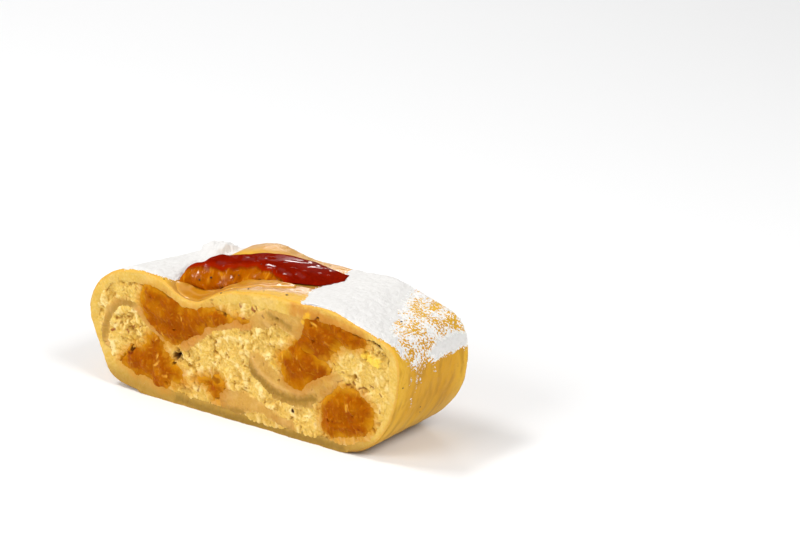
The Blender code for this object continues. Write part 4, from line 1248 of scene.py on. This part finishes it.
def film(name, wanted, cell, thickness):
    """A film on the faces of the skin whose middles are wanted, as thick as the function says."""
    bm = skin_bm.copy()
    chosen = mark & wanted(*centres.T)
    bm.faces.ensure_lookup_table()
    drop = [bm.faces[k] for k in np.flatnonzero(~chosen)]
    bmesh.ops.delete(bm, geom=drop, context="FACES")
    for face in bm.faces:
        face.material_index = SKIN
    divide(bm, SKIN, cell)
    points = Points(bm, name)
    points.relax(np.abs(points.co[:, 1]) < EVENED_WITHIN, (0, 1, 2), FILM_ROUNDS)
    thick, film_traits = thickness(*points.co.T)
    points.co += points.facing() * np.where(thick > 0, thick, -SUNK)[:, None]
    points.store(film_traits)
    bm = bmesh.new()
    bm.from_mesh(points.mesh)
    empty = [face for face in bm.faces if all(thick[vert.index] <= 0 for vert in face.verts)]
    bmesh.ops.delete(bm, geom=empty, context="FACES")
    bmesh.ops.delete(bm, geom=[v for v in bm.verts if not v.link_faces], context="VERTS")
    bm.to_mesh(points.mesh)
    bm.free()
    for label in [a.name for a in points.mesh.attributes if a.name in sheet_traits]:
        if label not in film_traits:
            points.mesh.attributes.remove(points.mesh.attributes[label])
    points.mesh.shade_smooth()
    thing = placed(name, points.mesh)
    body = thing.modifiers.new("underside", "SOLIDIFY")
    body.thickness = FILM_FLOOR * MM
    body.offset = -1.0
    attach(thing, "root")
    print(name, len(points.mesh.polygons), "faces, thickest", round(float(thick.max()), 2), "mm")
    return thing


print("faces of the skin that a film can lie on", int(mark.sum()))

# %% [markdown]
# ## Icing sugar
# Sifted sugar clumps: its top has soft lumps of two or three millimetres with finer grains on
# them, and it ends in a ragged bank. On the left it is heaped up behind. Millions of grains would
# be true to it, but a film with lumps looks the same.

# %% Icing sugar
SUGAR_CELL = 0.27


def sugar_thickness(x, y, z):
    """How thick the sugar lies: a bank with lumps, a heap on the left, and loose crumbs."""
    u = around(x, z)
    thinning = rise(u, 30.0, 46.0) * (1 - 0.7 * rise(u, 66.0, 68.0)) + 0.8 * rise(-u, 44.0, 54.0)
    noise = 0.6 * waves(u, y, 2.0, 133) + 0.35 * waves(u, y, 0.8, 135)
    thick = thick_sugar(u, y) + noise * (1 + 2.2 * thinning)
    full = rise(thick, -0.1, 1.6 + 5.0 * thinning) * rise(SUGAR_END - np.abs(y), -0.4, 1.6)
    lumps = 0.16 * np.abs(waves(u, y, 3.4, 137)) + 0.14 * waves(u, y, 4.5, 139)
    lumps += 0.1 * waves(u, y, 1.6, 141) + 0.06 * waves(u, y, 0.7, 143)
    ragged = x + 0.8 * waves(x, y, 1.8, 150)
    heap = rise(ragged, -39.5, -34.2) * (1 - rise(ragged, -30.0, -21.0))
    heap *= np.exp(-((y - 12.0) / 4.2) ** 2) * (3.3 + 0.7 * waves(x, y, 2.2, 149))
    heap *= rise(CUT_AT - y, 0.0, 3.6)
    height = 0.06 + full * (0.4 + lumps + heap)
    crumbs = dust(u, y) * 1.25 + 0.5 * waves(u, y, 0.7, 145) + 0.35 * waves(u, y, 1.5, 147)
    loose = np.where(crumbs > 1.0, 0.1 + 0.25 * rise(crumbs, 1.0, 1.5), 0.0)
    return np.where(thick > -0.1, height, loose), {}


# Sifted icing sugar: a white powder without any sheen, which looks soft. Its grains are finer than
# a tenth of a millimetre, so the bumps are drawn as clumps of 0.4 mm.
icing_sugar = finish(
    "icing sugar", "#E0DEDB",
    mottle=((1.2, "#D6D3CF", 0.5, 0.27),),
    bumps=((0.4, 0.14),), rough=0.95, scatter=0.1, depth=(0.6, 0.6, 0.6), specular=0.15)
for name, node, wanted in (
        ("sugar_on_the_left", "sugar_left", lambda x, y, z: (x < -20.0) & (z > 26.0)),
        ("sugar_on_the_right", "sugar_right", lambda x, y, z: (x > 15.0) & (z > 20.0))):
    thing = film(name, wanted, SUGAR_CELL, sugar_thickness)
    thing.data.materials.append(icing_sugar)
    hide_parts(node)

# %% [markdown]
# ## Syrup
# Apricot syrup ran out from under the fruit and stands in the hollow in front of it, a clear amber
# film with a rounded edge that climbs the fruit a little. Real glass-clear syrup would need a
# transparent film, which shows every fault of the dough under it, so the colour is in the film.

# %% Syrup
SYRUP_CELL = 0.3
SYRUP_POOL = ((-29.0, -14.0), (-27.0, -9.0), (-20.0, -7.0), (-12.0, -5.0), (-4.0, -3.5),
              (6.0, -3.5), (14.0, -4.5), (14.0, -7.6), (6.0, -10.2), (-2.0, -11.8), (-8.0, -13.2),
              (-11.0, -15.2), (-14.0, -17.2), (-21.0, -17.2), (-26.0, -16.6))


def syrup_thickness(x, y, z):
    """How thick the syrup stands, where it pools, and its pale swirls, partly painted highlight."""
    reach = inside(x, y, SYRUP_POOL) + 1.1 * waves(x, y, 4.0, 151) + 0.2 * waves(x, y, 1.8, 153)
    height = 0.36 * np.sqrt(rise(reach, -0.1, 1.0)) + 0.1 * waves(x, y, 4.0, 155)
    to_fruit, _ = nearest(np.column_stack([x, y, z]), top.co[::3])
    height += 0.75 * np.exp(-(to_fruit / 1.3) ** 2) * rise(reach, 0.0, 2.5)
    # Pale swirls: thin, milky syrup, and painted highlight where its ripples would shine
    swirl = np.exp(-((waves(x / 1.6, y, 4.4, 157) - 0.1) / 0.2) ** 2) * rise(reach, 0.2, 1.2)
    traits = {"pool": rise(reach, 0.3, 2.0), "swirl": swirl}
    return np.where(reach > 0, np.maximum(height, 0.05), 0.0), traits


# Apricot syrup, boiled down: amber with a sharp gloss, which makes it look sticky. Its pale
# swirls are thin, milky syrup and painted highlight on its ripples.
syrup = finish(
    "apricot syrup", "#D09434", mottle=((3.0, "#C88A28", 0.6, 0.33),),
    tints=(("pool", "#BE7C12", 0.85), ("swirl", "#DCA660", 0.35)), rough=0.3, scatter=0.15,
    depth=(2.0, 0.9, 0.1), coat=0.4, coat_rough=0.04, specular=0.05)
thing = film("syrup", lambda x, y, z: (abs(x + 8.0) < 24.0) & (z > 30.0) & (y < 0.0),
             SYRUP_CELL, syrup_thickness)
thing.data.materials.append(syrup)
skin_bm.free()

# %% [markdown]
# ## Loose grains
# Round the thick sugar, loose sugar lies on the skin. A grain of it is too fine to show, so small
# clumps of grains are drawn, about half a millimetre across at most. Thousands of separate objects
# would be slow to handle, so one mesh holds them all. One clump is a ball of a few faces. It is
# doubled until there are enough, and each copy is then moved to its own place.

# %% Loose grains
GRAIN_DOUBLINGS = 12
GRAIN_SIZES = (0.1, 0.26)

bm = bmesh.new()
bmesh.ops.create_icosphere(bm, subdivisions=1, radius=1.0)
ball = np.array([vert.co for vert in bm.verts])
for _ in range(GRAIN_DOUBLINGS):
    bmesh.ops.duplicate(bm, geom=bm.verts[:] + bm.edges[:] + bm.faces[:])
mesh = bpy.data.meshes.new("loose_sugar_grains")
bm.to_mesh(mesh)
bm.free()

draw = np.random.default_rng(21)
normals, areas = np.empty(len(mark) * 3), np.empty(len(mark))
sheet.mesh.polygons.foreach_get("normal", normals)
sheet.mesh.polygons.foreach_get("area", areas)
spots = np.flatnonzero(mark)
share = np.clip(dust(around(centres[spots, 0], centres[spots, 2]), centres[spots, 1]), 0, 0.8)
share = np.maximum(share - 0.1, 0) * areas[spots]
count = len(mesh.vertices) // len(ball)
found = spots[np.searchsorted(np.cumsum(share) / share.sum(), draw.random(count))]
size = draw.uniform(*GRAIN_SIZES, (count, 1, 1)) * draw.uniform(0.6, 1.0, (count, 1, 3))
jitter = draw.uniform(-0.25, 0.25, (count, 1, 3))
normal = normals.reshape(-1, 3)[found][:, None]
place = centres[found][:, None] + jitter - normal * (jitter * normal).sum(axis=2, keepdims=True)
spread_out = place + normal * 0.05 + ball[None] * size
mesh.vertices.foreach_set("co", (spread_out * MM).ravel())
mesh.shade_smooth()
grains = placed("loose_sugar_grains", mesh)
mesh.materials.append(icing_sugar)
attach(grains, "root")
print("grains", count)

# %% [markdown]
# ## Specks
# Tiny dark specks, such as bits of vanilla pod and burnt sugar, lie on the syrup, the sugar and
# the flank. Painted dots would blur, so each is a flattened ball of a few faces, set on the nearest
# point of the dough's skin, the top apricot or the sugar on the right.

# %% Specks
SPECKS = (
    (-21.6, -10.0, 40.5, 0.45), (-18.2, -8.3, 41.5, 0.5), (-7.2, -16.6, 41.2, 0.45),
    (0.9, -13.1, 43.2, 0.5), (16.7, -13.9, 44.8, 0.5), (-3.3, -1.5, 46.9, 0.3),
    (-30.9, -16.2, 40.4, 0.35), (-18.6, -16.2, 36.5, 0.3), (-15.4, -16.6, 37.2, 0.3),
    (52.1, -2.9, 41.8, 0.5), (61.2, -14.9, 25.3, 0.35), (58.9, -2.8, 14.7, 0.35),
    (57.8, -1.7, 12.5, 0.25), (8.0, -14.2, 44.2, 0.3), (-2.0, -14.8, 42.6, 0.28),
    (11.0, 15.0, 46.0, 0.35), (2.0, -3.0, 46.6, 0.25), (-9.0, -6.4, 44.0, 0.3),
)

surfaces = bmesh.new()
for thing in bpy.data.objects:
    if thing.name in ("outer_dough_baked", "apricot_top_baked", "sugar_on_the_right"):
        surfaces.from_mesh(thing.data)
tree = BVHTree.FromBMesh(surfaces)
surfaces.free()

bm = bmesh.new()
for x, y, z, size in SPECKS:
    place, normal, _, _ = tree.find_nearest(Vector((x, y, z)) * MM)
    turn = normal.to_track_quat("Z", "Y").to_matrix().to_4x4()
    shape = Matrix.Translation(place) @ turn @ Matrix.Diagonal((1.0, 0.8, 0.4, 1.0))
    bmesh.ops.create_icosphere(bm, subdivisions=1, radius=size * MM, matrix=shape)
mesh = bpy.data.meshes.new("dark_specks")
bm.to_mesh(mesh)
bm.free()
mesh.shade_smooth()
specks = placed("dark_specks", mesh)
# Burnt sugar: nearly black and a little glossy, so that the specks read as crisp points
mesh.materials.append(finish("burnt sugar", "#3A1408", rough=0.4, scatter=0.0))
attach(specks, "root")
print("specks", len(SPECKS))
